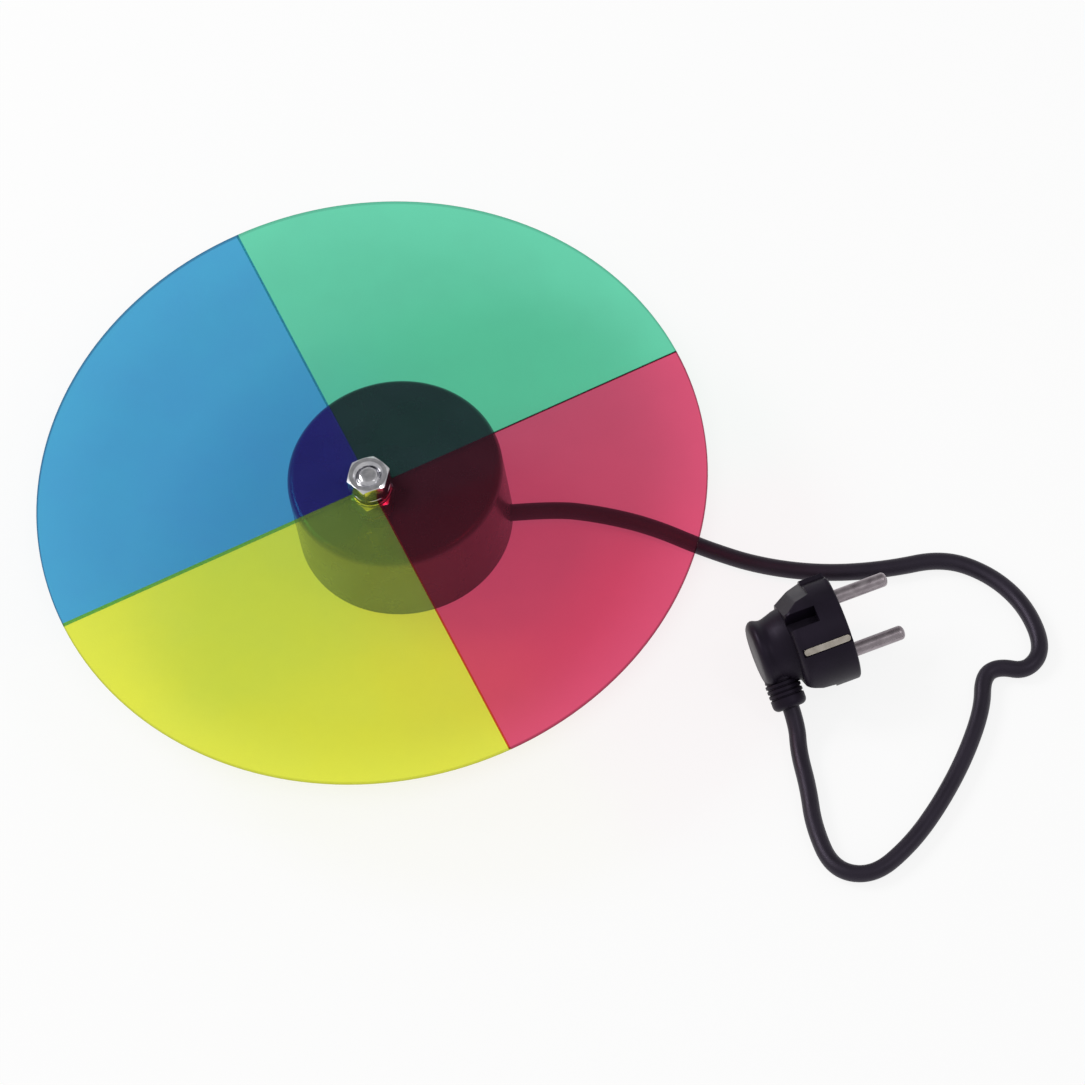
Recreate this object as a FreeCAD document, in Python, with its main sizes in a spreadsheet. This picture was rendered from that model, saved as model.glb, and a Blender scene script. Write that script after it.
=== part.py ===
import FreeCAD, Part
import math
import os
import Sketcher

# Colour wheel for a stage light: a geared synchronous motor in a black can turns a disc of four
# filters, and a short mains lead ends in an angled plug.
# The origin lies on the spindle's axis, in the plane that the can stands on, with Z up the spindle.
# All lengths are millimetres and all angles degrees.

DRIVING_SIZES = (
    # The disc and what clamps it
    ("disc_radius", 111.3, "outside radius of the four filters"),
    ("disc_thick", 1.2, "thickness of a filter"),
    ("seam_turn", 12.5, "bearing of the seam between the red and the green filter"),
    ("lap_width", 0.7, "overlap of two filters at a seam"),
    ("bond_gap", 0.05, "adhesive film between two filters"),
    ("spindle_radius", 4.0, "threaded spindle, outside radius"),
    ("gear_seat", 3.0, "seat of the output gear on the spindle"),
    ("pivot_radius", 2.0, "lower pivot of the spindle"),
    ("nut_flats", 13.0, "width across the flats of both nuts"),
    ("nut_height", 6.5, "height of a nut"),
    ("nut_turn", 8.0, "bearing of a corner of the nuts"),
    ("nut_bevel_angle", 30.0, "slope of the bevel on a nut's corners"),
    ("nut_countersink", 0.6, "countersink of a nut's thread, in width and in depth"),
    ("washer_radius", 6.6, "outside radius of both washers"),
    ("washer_thick", 1.5, "thickness of a washer"),
    ("nut_lift", 2.9, "from the top of the can to the lower nut"),
    ("end_drop", 0.4, "the spindle's end below the top of the upper nut"),
    ("end_chamfer", 0.8, "chamfer on the spindle's end"),
    ("groove_depth", 0.6, "depth of the retaining ring's groove"),
    ("groove_slack", 0.05, "the groove over the retaining ring"),
    # The can
    ("can_x", 8.76, "axis of the can from the spindle, to the right"),
    ("can_y", 11.32, "axis of the can from the spindle, to the back"),
    ("can_wall", 2.0, "side wall of the can"),
    ("can_roof", 2.2, "top wall of the can"),
    ("can_edge", 2.5, "rounding of the top edge"),
    ("boss_radius", 3.0, "screw bosses inside the can"),
    ("boss_inset", 3.3, "from a boss's axis to the inside of the side wall"),
    ("boss_gap", 0.5, "from a boss to the gearbox"),
    ("base_turn", 50.0, "bearing of the first boss for the base cover"),
    ("motor_turn", 110.0, "bearing of the first boss for the motor"),
    # The base cover
    ("cover_thick", 2.0, "plate of the base cover"),
    ("cover_gap", 0.15, "gap round the base cover"),
    ("pad_rise", 2.0, "screw pads above the plate"),
    ("insert_gap", 0.6, "from the stator to the boss of a threaded insert"),
    ("insert_bore", 1.65, "core radius of a threaded insert"),
    ("insert_radius", 2.8, "outside radius of a threaded insert"),
    ("insert_length", 6.0, "length of a threaded insert"),
    ("insert_wall", 1.6, "plastic round and over a threaded insert"),
    # Screws
    ("screw_radius", 1.45, "shank of the housing's screws"),
    ("screw_grip", 8.0, "length of a screw in its boss"),
    ("head_radius", 2.5, "head of a screw"),
    ("head_height", 1.7, "height of a screw's head"),
    ("head_room", 0.25, "space round and under a sunk head"),
    ("slip", 0.2, "clearance of a screw in a hole that it passes through"),
    ("pilot_spare", 1.0, "screw hole beyond the end of its screw"),
    ("clamp_spare", 0.3, "from a clamp screw's end to the plate of the cover"),
    ("ear_margin", 1.0, "the gear plate's ears beyond the bosses, to each side"),
    ("ear_gap", 0.4, "from an ear's tip to the side wall"),
    ("cut_room", 1.0, "reach of a cutting outline beyond what it cuts"),
    # The gear train
    ("tooth_module", 0.5, "module of every gear"),
    ("pinion_teeth", 12, "teeth of the rotor's pinion and of each idler's pinion"),
    ("wheel_teeth", 45, "teeth of each idler's wheel and of the output gear"),
    ("tooth_shift", 0.35, "profile shift in modules, outwards on a pinion and inwards on a wheel"),
    ("tooth_crest", 0.8, "height of a tooth above the pitch circle, in modules"),
    ("tooth_root", 1.1, "depth of a tooth below the pitch circle, in modules"),
    ("backlash", 0.10, "play between two meshed gears on the pitch circle"),
    ("face_width", 1.8, "face of a gear wheel"),
    ("layer_pitch", 2.6, "from one layer of gears to the next"),
    ("gear_lift", 0.6, "from the gear plate to the first layer"),
    ("gear_room", 0.6, "from the widest gear to the gearbox's wall"),
    ("roof_room", 0.8, "from the last layer to the gearbox's roof"),
    ("pin_radius", 1.0, "the two fixed pins"),
    ("collar_wall", 1.0, "wall of the collars on which the gears stand"),
    ("collar_drop", 0.3, "height of such a collar"),
    ("hub_wall", 1.6, "wall of the output gear's hub over the spindle's radius"),
    ("hub_drop", 0.5, "the output gear's hub below its teeth"),
    ("run_gap", 0.05, "radial clearance of whatever turns"),
    ("end_gap", 0.1, "axial play of whatever turns"),
    # The motor
    ("plate_thick", 1.2, "gear plate"),
    ("metal", 0.8, "sheet of the stator cup, the pole plate and the gearbox cover"),
    ("stator_lift", 2.6, "from the base cover to the stator cup"),
    ("stator_height", 11.4, "stator cup, from its floor to the gear plate"),
    ("stator_radius", 19.0, "outside radius of the stator cup"),
    ("rotor_radius", 10.6, "outside radius of the magnet"),
    ("magnet_wall", 3.6, "wall of the ring magnet"),
    ("air_gap", 0.5, "between the magnet and the poles"),
    ("magnet_room", 0.6, "space under and over the magnet"),
    ("pole_root", 4.0, "width of a pole at its root"),
    ("pole_tip", 2.4, "width of a pole at its tip"),
    ("pole_count", 6, "poles on each of the two pole plates"),
    ("pole_room", 1.0, "from a pole's tip to the opposite pole plate"),
    ("fit_gap", 0.1, "gap between the pieces that are slid into the stator cup"),
    ("bobbin_wall", 0.8, "wall and flanges of the coil bobbin"),
    ("coil_room", 0.8, "from the winding to the edge of the bobbin's flanges"),
    ("neck_radius", 2.2, "neck of the rotor below its pinion"),
    ("neck_room", 0.4, "gap round the rotor's pinion in the gear plate"),
    ("tag_bearing", -75.0, "bearing of the coil's tags"),
    ("lug_half", 4.0, "half of the width of the lug that holds the tags"),
    ("lug_height", 2.8, "notch for the lug in the stator cup"),
    ("lug_out", 2.5, "the lug beyond the stator cup"),
    ("lug_in", 0.6, "the lug within the rim of the bobbin's flange"),
    ("tag_drop", 1.3, "from the pole plate down to the tags"),
    ("tag_half", 1.2, "half of a tag's width"),
    ("tag_thick", 0.5, "thickness of a tag"),
    ("tag_long", 3.5, "length of a tag"),
    # The bush
    ("bush_wall", 2.0, "wall of the output bush"),
    ("flange_width", 2.0, "flange of the bush beyond its wall"),
    ("flange_thick", 1.0, "thickness of the bush's flange"),
    ("flange_room", 0.45, "from the flange to the roof of the can"),
    ("bush_proud", 0.8, "the bush above the top of the can"),
    ("ring_thick", 0.8, "retaining ring"),
    ("ring_width", 1.6, "radial width of the retaining ring"),
    # The mains lead
    ("lead_radius", 2.85, "mains lead"),
    ("lead_gap", 0.25, "gap round the lead in the wall of the can"),
    ("lead_lift", 5.0, "height of the lead's axis in the wall"),
    ("lead_bearing", -15.0, "bearing of the lead's hole from the can's axis"),
    ("lead_heading", -9.0, "direction in which the lead leaves the can"),
    ("lead_inside", 9.8, "length of the lead inside the outside of the wall"),
    ("lead_outside", 13.0, "level length of the lead outside the wall"),
    ("clamp_from", 4.8, "from the outside of the wall to the clamp"),
    ("clamp_long", 4.6, "clamp, along the lead"),
    ("clamp_half", 8.6, "half of the clamp's length across the lead"),
    ("clamp_pitch", 6.0, "from the lead's axis to a clamp screw"),
    ("clamp_rise", 6.3, "underside of the clamp"),
    ("clamp_thick", 3.0, "thickness of the clamp"),
    ("post_radius", 2.4, "the two posts under the clamp"),
    ("core_radius", 0.8, "one insulated core of the lead"),
    ("core_aside", 0.9, "from the lead's axis to the axis of a core"),
    ("core_inward", 2.9, "straight start of the first core"),
    ("core_further", 1.5, "straight start of the second core, beyond that of the first"),
    ("core_space", 2.6, "from the stator cup to the second core"),
    ("core_apart", 1.9, "from the second core's axis out to that of the first"),
    ("core_bend", -36.0, "bearing of the cores' first bend round the stator"),
    ("core_turn", -54.0, "bearing of their second bend"),
    ("core_rise", 3.0, "upright end of a core under its tag"),
    # The plug
    ("plug_x", 139.5, "middle of the plug's face, to the right"),
    ("plug_y", -77.2, "middle of the plug's face, to the back"),
    ("plug_heading", 8.0, "direction of the plug's pins"),
    ("crown_radius", 18.25, "round front of the plug"),
    ("crown_depth", 18.5, "length of the round front"),
    ("collar_depth", 8.4, "unbroken front collar of the crown"),
    ("crown_edge", 0.8, "rounding of the face's edge"),
    ("crown_shoulder", 2.4, "rounding of the crown's back edge"),
    ("key_floor", 16.4, "from the axis to the floor of a guide groove"),
    ("key_half", 4.2, "half of a guide groove's width"),
    ("flat_front", 16.1, "from the axis to the cutaway behind the collar, at the collar"),
    ("flat_middle", 15.3, "from the axis to that cutaway where its slope gets steeper"),
    ("flat_bend", 13.4, "from the face to that place"),
    ("flat_back", 12.4, "from the axis to that cutaway at the crown's back"),
    ("flat_half", 7.5, "half of that cutaway's width"),
    ("slot_half", 2.2, "half of a side slot's width"),
    ("slot_floor", 12.0, "from the axis to the floor of a side slot"),
    ("slot_depth", 7.5, "from the face to the front of a side slot"),
    ("slot_bearing", 92.0, "bearing of a side slot, from the right in the plug's own view"),
    ("plug_depth", 30.2, "whole depth of the plug body"),
    ("neck_front", 12.3, "radius of the plug's back where it leaves the crown"),
    ("waist_depth", 25.6, "from the face to the waist of the plug's back"),
    ("neck_waist", 10.7, "radius of that waist"),
    ("lip_depth", 27.9, "from the face to the lip at the plug's back"),
    ("neck_lip", 11.4, "radius of that lip"),
    ("neck_back", 9.8, "radius of the plug's back at its end"),
    ("outlet_depth", 25.0, "from the face to the axis of the lead's outlet"),
    ("outlet_reach", 19.8, "from the plug's axis to the end of the outlet"),
    ("outlet_drop", 30.0, "slope of the outlet, down from the level"),
    ("outlet_root", 6.0, "radius of the outlet at its root"),
    ("outlet_tip", 5.3, "radius of the outlet at its end"),
    ("rib_radius", 5.9, "the outlet's ribs"),
    ("rib_long", 1.1, "length of one rib"),
    ("rib_pitch", 2.3, "from one rib to the next"),
    ("rib_count", 4, "ribs on the outlet"),
    ("outlet_straight", 9.4, "length of the outlet's straight end"),
    ("outlet_chamfer", 1.7, "rounded end of the outlet"),
    ("rib_from", 2.4, "from the outlet's end to the first rib"),
    ("lead_sunk", 5.0, "length of the lead inside the outlet"),
    ("lead_ahead", 5.2, "straight length of the lead in front of the outlet"),
    ("plug_pin_radius", 2.4, "contact pins"),
    ("plug_pin_long", 19.0, "contact pins, in front of the face"),
    ("plug_pin_root", 10.0, "contact pins, behind the face"),
    ("plug_pin_pitch", 19.0, "between the axes of the pins"),
    ("plug_pin_turn", 45.0, "bearing of the line through both pins"),
    ("plug_pin_nose", 1.4, "tapered end of a contact pin"),
    ("plug_pin_taper", 1.2, "narrowing of that end"),
    ("strip_half", 1.2, "half of an earth strip's width"),
    ("strip_thick", 0.8, "thickness of an earth strip"),
    ("strip_long", 16.0, "length of an earth strip"),
    ("strip_sunk", 1.0, "from the crown's surface to the back of a strip's channel"),
    ("strip_slack", 0.1, "gap beside a strip"),
)

FORMULAS = (
    # Round the spindle
    ("offset", "sqrt(can_x ^ 2 + can_y ^ 2)"),
    ("bush_bore", "spindle_radius + run_gap"),
    ("bush_radius", "bush_bore + bush_wall"),
    ("flange_radius", "bush_radius + flange_width"),
    ("nut_corner", "nut_flats / sqrt(3)"),
    ("clamp_bore", "spindle_radius + run_gap"),
    # The gears, in the middle of the can
    ("gear_distance", "tooth_module * (pinion_teeth + wheel_teeth) / 2"),
    ("wheel_tip", "tooth_module * (wheel_teeth / 2 + tooth_crest - tooth_shift)"),
    ("pinion_tip", "tooth_module * (pinion_teeth / 2 + tooth_crest + tooth_shift)"),
    ("gear_reach", "max(offset; gear_distance) + wheel_tip"),
    ("gearbox_inner", "gear_reach + gear_room"),
    ("gearbox_radius", "gearbox_inner + metal"),
    ("boss_circle", "gearbox_radius + boss_gap + boss_radius"),
    ("can_inner", "boss_circle + boss_inset"),
    ("can_radius", "can_inner + can_wall"),
    ("cover_radius", "can_inner - cover_gap"),
    # Heights from the floor up
    ("pad_top", "cover_thick + pad_rise"),
    ("pad_radius", "boss_inset - 2 * cover_gap"),
    ("stator_floor", "cover_thick + stator_lift"),
    ("stator_inside", "stator_floor + metal"),
    ("plate_under", "stator_floor + stator_height"),
    ("plate_top", "plate_under + plate_thick"),
    ("layer_one", "plate_top + gear_lift"),
    ("layer_two", "layer_one + layer_pitch"),
    ("layer_three", "layer_two + layer_pitch"),
    ("layer_four", "layer_three + layer_pitch"),
    ("gears_top", "layer_four + face_width"),
    ("box_under", "gears_top + roof_room"),
    ("box_top", "box_under + metal"),
    ("flange_top", "box_top + flange_thick"),
    ("ceiling", "flange_top + flange_room"),
    ("can_height", "ceiling + can_roof"),
    ("bush_top", "can_height + bush_proud"),
    ("ring_under", "bush_top + end_gap"),
    ("ring_top", "ring_under + ring_thick"),
    ("lower_nut_under", "can_height + nut_lift"),
    ("lower_nut_top", "lower_nut_under + nut_height"),
    ("disc_under", "lower_nut_top + washer_thick"),
    ("disc_top", "disc_under + disc_thick"),
    ("upper_nut_under", "disc_top + washer_thick"),
    ("upper_nut_top", "upper_nut_under + nut_height"),
    ("spindle_top", "upper_nut_top - end_drop"),
    # The stator
    ("pole_inner", "rotor_radius + air_gap"),
    ("pole_outer", "pole_inner + metal"),
    ("pole_middle", "pole_inner + metal / 2"),
    ("pole_root_half", "pole_root / 2"),
    ("pole_tip_half", "pole_tip / 2"),
    ("bobbin_inner", "sqrt(pole_outer ^ 2 + pole_root_half ^ 2) + fit_gap"),
    ("bobbin_core", "bobbin_inner + bobbin_wall"),
    ("stator_bore", "stator_radius - metal"),
    ("bobbin_edge", "stator_bore - fit_gap"),
    ("coil_edge", "bobbin_edge - coil_room"),
    ("pole_under", "plate_under - metal"),
    ("coil_floor", "stator_inside + bobbin_wall"),
    ("coil_top", "pole_under - bobbin_wall"),
    ("pole_reach", "pole_under - pole_room"),
    ("pole_drop", "stator_inside + pole_room"),
    ("magnet_bore", "rotor_radius - magnet_wall"),
    ("magnet_floor", "stator_inside + magnet_room"),
    ("magnet_top", "pole_under - magnet_room"),
    ("neck_hole", "pinion_tip + neck_room"),
    ("pin_hole", "pin_radius + run_gap"),
    ("notch_from", "bobbin_edge - lug_in"),
    ("notch_to", "stator_radius + cut_room"),
    ("lug_end", "stator_radius + lug_out"),
    ("lug_side", "lug_half - fit_gap"),
    ("lug_tall", "lug_height - metal - fit_gap"),
    ("tag_end", "lug_end + tag_long"),
    ("tag_inner", "lug_half / 2 - tag_half"),
    ("tag_outer", "lug_half / 2 + tag_half"),
    ("tag_under", "pole_under - tag_drop"),
    # The gears' second pin stands a gear distance from the rotor's pin and from the spindle
    ("pin_across", "sqrt(gear_distance ^ 2 - (offset / 2) ^ 2)"),
    ("idler_dx", "can_y / offset * pin_across - can_x / 2"),
    ("idler_dy", "-can_y / 2 - can_x / offset * pin_across"),
    ("idler_x", "can_x + idler_dx"),
    ("idler_y", "can_y + idler_dy"),
    # Holes and bosses of the can, the gear plate and the cover
    ("plate_edge", "stator_bore - fit_gap"),
    ("clamp_screw_end", "cover_thick + clamp_spare"),
    ("pole_turn", "tag_bearing + 180 / pole_count"),
    ("post_depth", "clamp_rise - clamp_screw_end"),
    ("ring_mouth", "ring_bore - groove_depth"),
    ("ring_clear", "ring_radius + cut_room"),
    ("mouth_apex", "nut_height - nut_mouth"),
    ("flat_width", "2 * flat_half"),
    ("spindle_dx", "-can_x"),
    ("spindle_dy", "-can_y"),
    ("bush_hole", "bush_radius + cover_gap"),
    ("pivot_hole", "pivot_radius + run_gap"),
    ("screw_hole", "screw_radius + slip"),
    ("pilot_depth", "screw_grip + pilot_spare"),
    ("base_boss_long", "ceiling - pad_top"),
    ("motor_boss_long", "ceiling - plate_top"),
    ("ear_half", "boss_radius + ear_margin"),
    ("ear_tip_half", "boss_radius / 2"),
    ("ear_root", "gearbox_inner - ear_half"),
    ("ear_end", "can_inner - ear_gap"),
    ("sunk_radius", "head_radius + head_room"),
    ("sunk_depth", "head_height + head_room"),
    ("base_screw_end", "pad_top + screw_grip"),
    ("motor_head_end", "plate_under - head_height"),
    ("motor_screw_end", "plate_top + screw_grip"),
    ("insert_boss", "insert_radius + insert_wall"),
    ("insert_half", "stator_radius + insert_gap + insert_boss"),
    ("insert_top", "insert_length + insert_wall"),
    # The clamp on the lead
    ("clamp_mid", "clamp_from + clamp_long / 2"),
    ("exit_dx", "can_radius * cos(lead_bearing)"),
    ("exit_dy", "can_radius * sin(lead_bearing)"),
    ("clamp_dx", "exit_dx - clamp_mid * cos(lead_heading)"),
    ("clamp_dy", "exit_dy - clamp_mid * sin(lead_heading)"),
    ("clamp_x", "can_x + clamp_dx"),
    ("clamp_y", "can_y + clamp_dy"),
    ("clamp_turn", "lead_heading + 90"),
    ("clamp_top", "clamp_rise + clamp_thick"),
    ("clamp_head", "clamp_top + head_height"),
    ("lead_hole", "lead_radius + lead_gap"),
    ("core_second", "core_inward + core_further"),
    ("core_inner", "stator_radius + core_space + core_radius"),
    ("core_outer", "core_inner + core_apart"),
    # The nuts and the retaining ring
    ("nut_half", "nut_flats / 2"),
    ("nut_corner_half", "nut_corner / 2"),
    ("nut_face", "nut_half - run_gap"),
    ("nut_far", "nut_corner + cut_room"),
    ("nut_bevel", "(nut_far - nut_face) * tan(nut_bevel_angle)"),
    ("nut_mouth", "spindle_radius + nut_countersink"),
    ("bevel_top", "nut_height - nut_bevel"),
    ("ring_groove", "spindle_radius - groove_depth"),
    ("ring_bore", "ring_groove + run_gap"),
    ("ring_radius", "ring_bore + ring_width"),
    ("hub_radius", "spindle_radius + hub_wall"),
    ("hub_under", "layer_four - hub_drop"),
    ("hub_top", "box_under - end_gap"),
    ("groove_top", "ring_top + groove_slack"),
    ("end_bevel", "spindle_top - end_chamfer"),
    ("end_face", "spindle_radius - end_chamfer"),
    # The seams of the disc
    ("lap_half", "lap_width / 2"),
    ("tongue", "lap_half - bond_gap"),
    ("disc_far", "disc_radius + cut_room"),
    ("lower_tongue_top", "(disc_thick - bond_gap) / 2"),
    ("upper_tongue_under", "(disc_thick + bond_gap) / 2"),
    # The plug, in its own view: its face is at zero and its body lies behind it
    ("crown_back", "-crown_depth"),
    ("collar_back", "-collar_depth"),
    ("waist_back", "-waist_depth"),
    ("lip_back", "-lip_depth"),
    ("plug_back", "-plug_depth"),
    ("crown_clear", "crown_radius + cut_room"),
    ("cutaway_back", "crown_back - cut_room"),
    ("bend_back", "-flat_bend"),
    ("slot_front", "-slot_depth"),
    ("slot_long", "crown_depth - slot_depth"),
    ("strip_turn", "plug_pin_turn + 90"),
    ("channel_floor", "crown_radius - strip_sunk"),
    ("strip_face", "channel_floor + strip_thick"),
    ("channel_half", "strip_half + strip_slack"),
    ("channel_long", "strip_long + strip_slack"),
    ("pin_place", "plug_pin_pitch / 2"),
    ("pin_root_end", "-plug_pin_root"),
    ("pin_bevel", "plug_pin_long - plug_pin_nose"),
    ("pin_tip", "plug_pin_radius - plug_pin_taper"),
    ("outlet_back", "-outlet_depth"),
    ("outlet_end", "-outlet_reach"),
    ("outlet_shoulder", "outlet_end + outlet_straight"),
    ("outlet_edge", "outlet_end + outlet_chamfer"),
    ("outlet_edge_radius", "outlet_tip - outlet_chamfer"),
    ("outlet_round", "outlet_end + outlet_chamfer * (1 - cos(45))"),
    ("outlet_round_radius", "outlet_tip - outlet_chamfer * (1 - sin(45))"),
    ("outlet_bore_end", "outlet_end + lead_sunk"),
    ("rib_first", "outlet_end + rib_from"),
    ("rib_first_end", "rib_first + rib_long"),
)

PARTS_FOLDER = "parts"

doc = FreeCAD.newDocument("colour_wheel")
sheet = doc.addObject("Spreadsheet::Sheet", "Sizes")


def fill_sheet():
    """Put every driving size and every formula in a row of the sheet, under its own name."""
    row = 1
    for alias, number, meaning in DRIVING_SIZES:
        sheet.set(f"A{row}", alias)
        sheet.set(f"B{row}", str(number))
        sheet.set(f"C{row}", meaning)
        sheet.setAlias(f"B{row}", alias)
        row += 1
    for alias, formula in FORMULAS:
        sheet.set(f"A{row}", alias)
        sheet.set(f"B{row}", "=" + formula)
        sheet.setAlias(f"B{row}", alias)
        row += 1
    doc.recompute()


def size(term):
    """The value of a cell, of a cell with a minus sign before it, or of a plain number."""
    if isinstance(term, (int, float)):
        return float(term)
    sign = -1.0 if term.startswith("-") else 1.0
    return sign * float(getattr(sheet, term.lstrip("-")))


def formula(term):
    """The same term as an expression that other objects can be bound to."""
    if isinstance(term, (int, float)):
        return str(term)
    sign = "-" if term.startswith("-") else ""
    return f"{sign}Sizes.{term.lstrip('-')}"


def bind(item, **terms):
    """Bind properties of an object to cells; a double underscore stands for a dot."""
    for name, term in terms.items():
        item.setExpression(name.replace("__", "."), formula(term))


def move(item, x=0, y=0, z=0, turn=0):
    """Place an object by cells, turned about Z."""
    item.Placement = FreeCAD.Placement(
        FreeCAD.Vector(size(x), size(y), size(z)),
        FreeCAD.Rotation(FreeCAD.Vector(0, 0, 1), size(turn)),
    )
    bind(item, Placement__Base__x=x, Placement__Base__y=y, Placement__Base__z=z)
    if turn:
        bind(item, Placement__Rotation__Angle=turn)


def polar(radius, bearing):
    """The vector of a length and a bearing in the plane of the floor."""
    angle = math.radians(bearing)
    return FreeCAD.Vector(radius * math.cos(angle), radius * math.sin(angle), 0)


# Bodies and their features


def new_body(name, many=False):
    body = doc.addObject("PartDesign::Body", name)
    body.Label = name
    body.AllowCompound = many
    return body


def origin_feature(body, role):
    return next(item for item in body.Origin.OriginFeatures if item.Role == role)


def new_sketch(body, role="XY_Plane", height=0, shift=0, rise=0, turn=0):
    """A sketch on one of the body's own planes, lifted off it by height and shifted along X and Y.

    It is turned about the body's upright axis, which is the normal of the XY plane and the
    vertical of the other two.
    """
    sketch = body.newObject("Sketcher::SketchObject", f"{body.Name}_sketch")
    sketch.AttachmentSupport = [(origin_feature(body, role), "")]
    sketch.MapMode = "FlatFace"
    upright = FreeCAD.Vector(0, 0, 1) if role == "XY_Plane" else FreeCAD.Vector(0, 1, 0)
    place = FreeCAD.Vector(size(shift), size(rise), size(height))
    sketch.AttachmentOffset = FreeCAD.Placement(place, FreeCAD.Rotation(upright, size(turn)))
    bind(sketch, AttachmentOffset__Base__z=height, AttachmentOffset__Base__x=shift)
    bind(sketch, AttachmentOffset__Base__y=rise)
    if turn:
        bind(sketch, AttachmentOffset__Rotation__Angle=turn)
    return sketch


def outline(sketch, corners):
    """A closed outline of straight lines; each corner is held by two cells."""
    first = sketch.GeometryCount
    points = [FreeCAD.Vector(size(x), size(y), 0) for x, y in corners]
    lines = [Part.LineSegment(a, b) for a, b in zip(points, points[1:] + points[:1])]
    sketch.addGeometry(lines, False)
    count = len(lines)
    for step in range(count):
        following = first + (step + 1) % count
        sketch.addConstraint(Sketcher.Constraint("Coincident", first + step, 2, following, 1))
    for step, corner in enumerate(corners):
        for kind, term in zip(("DistanceX", "DistanceY"), corner):
            rule = Sketcher.Constraint(kind, -1, 1, first + step, 1, size(term))
            sketch.setExpression(f"Constraints[{sketch.addConstraint(rule)}]", formula(term))


def circle(sketch, radius, x=0, y=0):
    """A circle whose radius and middle are held by cells."""
    middle = FreeCAD.Vector(size(x), size(y), 0)
    shape = Part.Circle(middle, FreeCAD.Vector(0, 0, 1), size(radius))
    index = sketch.addGeometry(shape, False)
    for kind, term in (("DistanceX", x), ("DistanceY", y)):
        rule = Sketcher.Constraint(kind, -1, 1, index, 3, size(term))
        sketch.setExpression(f"Constraints[{sketch.addConstraint(rule)}]", formula(term))
    rule = Sketcher.Constraint("Radius", index, size(radius))
    sketch.setExpression(f"Constraints[{sketch.addConstraint(rule)}]", formula(radius))


def pad(body, sketch, length, down=False):
    feature = body.newObject("PartDesign::Pad", f"{body.Name}_pad")
    feature.Profile = sketch
    feature.Reversed = down
    bind(feature, Length=length)
    doc.recompute()
    return feature


def pocket(body, sketch, length, up=False):
    """Cut a sketch into the body, down from its plane or up from it, and check that it cut."""
    before = body.Shape.Volume
    feature = body.newObject("PartDesign::Pocket", f"{body.Name}_pocket")
    feature.Profile = sketch
    feature.Reversed = up
    bind(feature, Length=length)
    doc.recompute()
    if body.Shape.Volume > before - 1e-6:
        raise RuntimeError(f"a pocket of {body.Name} cuts nothing")
    return feature


def turned(body, sketch):
    """Revolve a sketch once round its own vertical axis."""
    feature = body.newObject("PartDesign::Revolution", f"{body.Name}_turned")
    feature.Profile = sketch
    feature.ReferenceAxis = (sketch, ["V_Axis"])
    feature.Angle = 360
    doc.recompute()
    return feature


def ring_of(body, feature, count):
    """Repeat a feature evenly round the body's Z axis."""
    pattern = body.newObject("PartDesign::PolarPattern", f"{body.Name}_ring")
    pattern.Originals = [feature]
    pattern.Axis = (origin_feature(body, "Z_Axis"), [""])
    pattern.Angle = 360
    bind(pattern, Occurrences=count)
    body.Tip = pattern
    doc.recompute()
    return pattern


def edges_where(shape, test):
    """Names of the edges for which the test holds."""
    return [f"Edge{n}" for n, edge in enumerate(shape.Edges, 1) if test(edge)]


def round_edges(body, radius, test):
    base = body.Tip
    feature = body.newObject("PartDesign::Fillet", f"{body.Name}_rounding")
    feature.Base = (base, edges_where(base.Shape, test))
    bind(feature, Radius=radius)
    doc.recompute()
    return feature


def is_circle(edge, radius, height):
    """Whether an edge is a circle of that radius at that height of its body."""
    curve = edge.Curve
    return (
        isinstance(curve, Part.Circle)
        and abs(curve.Radius - radius) < 1e-4
        and abs(curve.Center.z - height) < 1e-4
    )


def turned_body(name, corners, x=0, y=0):
    """A body turned from one outline of radii and heights, on an upright axis."""
    body = new_body(name)
    sketch = new_sketch(body, "XZ_Plane")
    outline(sketch, corners)
    turned(body, sketch)
    move(body, x, y)
    return body


def bushing(name, inner, outer, under, top, x=0, y=0):
    """A plain ring between two radii and two heights."""
    return turned_body(name, [(inner, under), (outer, under), (outer, top), (inner, top)], x, y)


def screws_in_ring(name, circle_radius, count, turn, levels, upward=True):
    """Pan head screws round the can's axis; levels are the head's end, its seat and the shank's end."""
    head_end, seat, shank_end = levels
    body = new_body(name, many=True)
    sketch = new_sketch(body, "XZ_Plane", shift=circle_radius)
    outline(
        sketch,
        [
            (0, head_end),
            ("head_radius", head_end),
            ("head_radius", seat),
            ("screw_radius", seat),
            ("screw_radius", shank_end),
            (0, shank_end),
        ],
    )
    feature = turned(body, sketch)
    ring_of(body, feature, count)
    move(body, "can_x", "can_y", 0, turn)
    return body


# Gears


def involute(angle):
    return math.tan(angle) - angle


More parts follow.
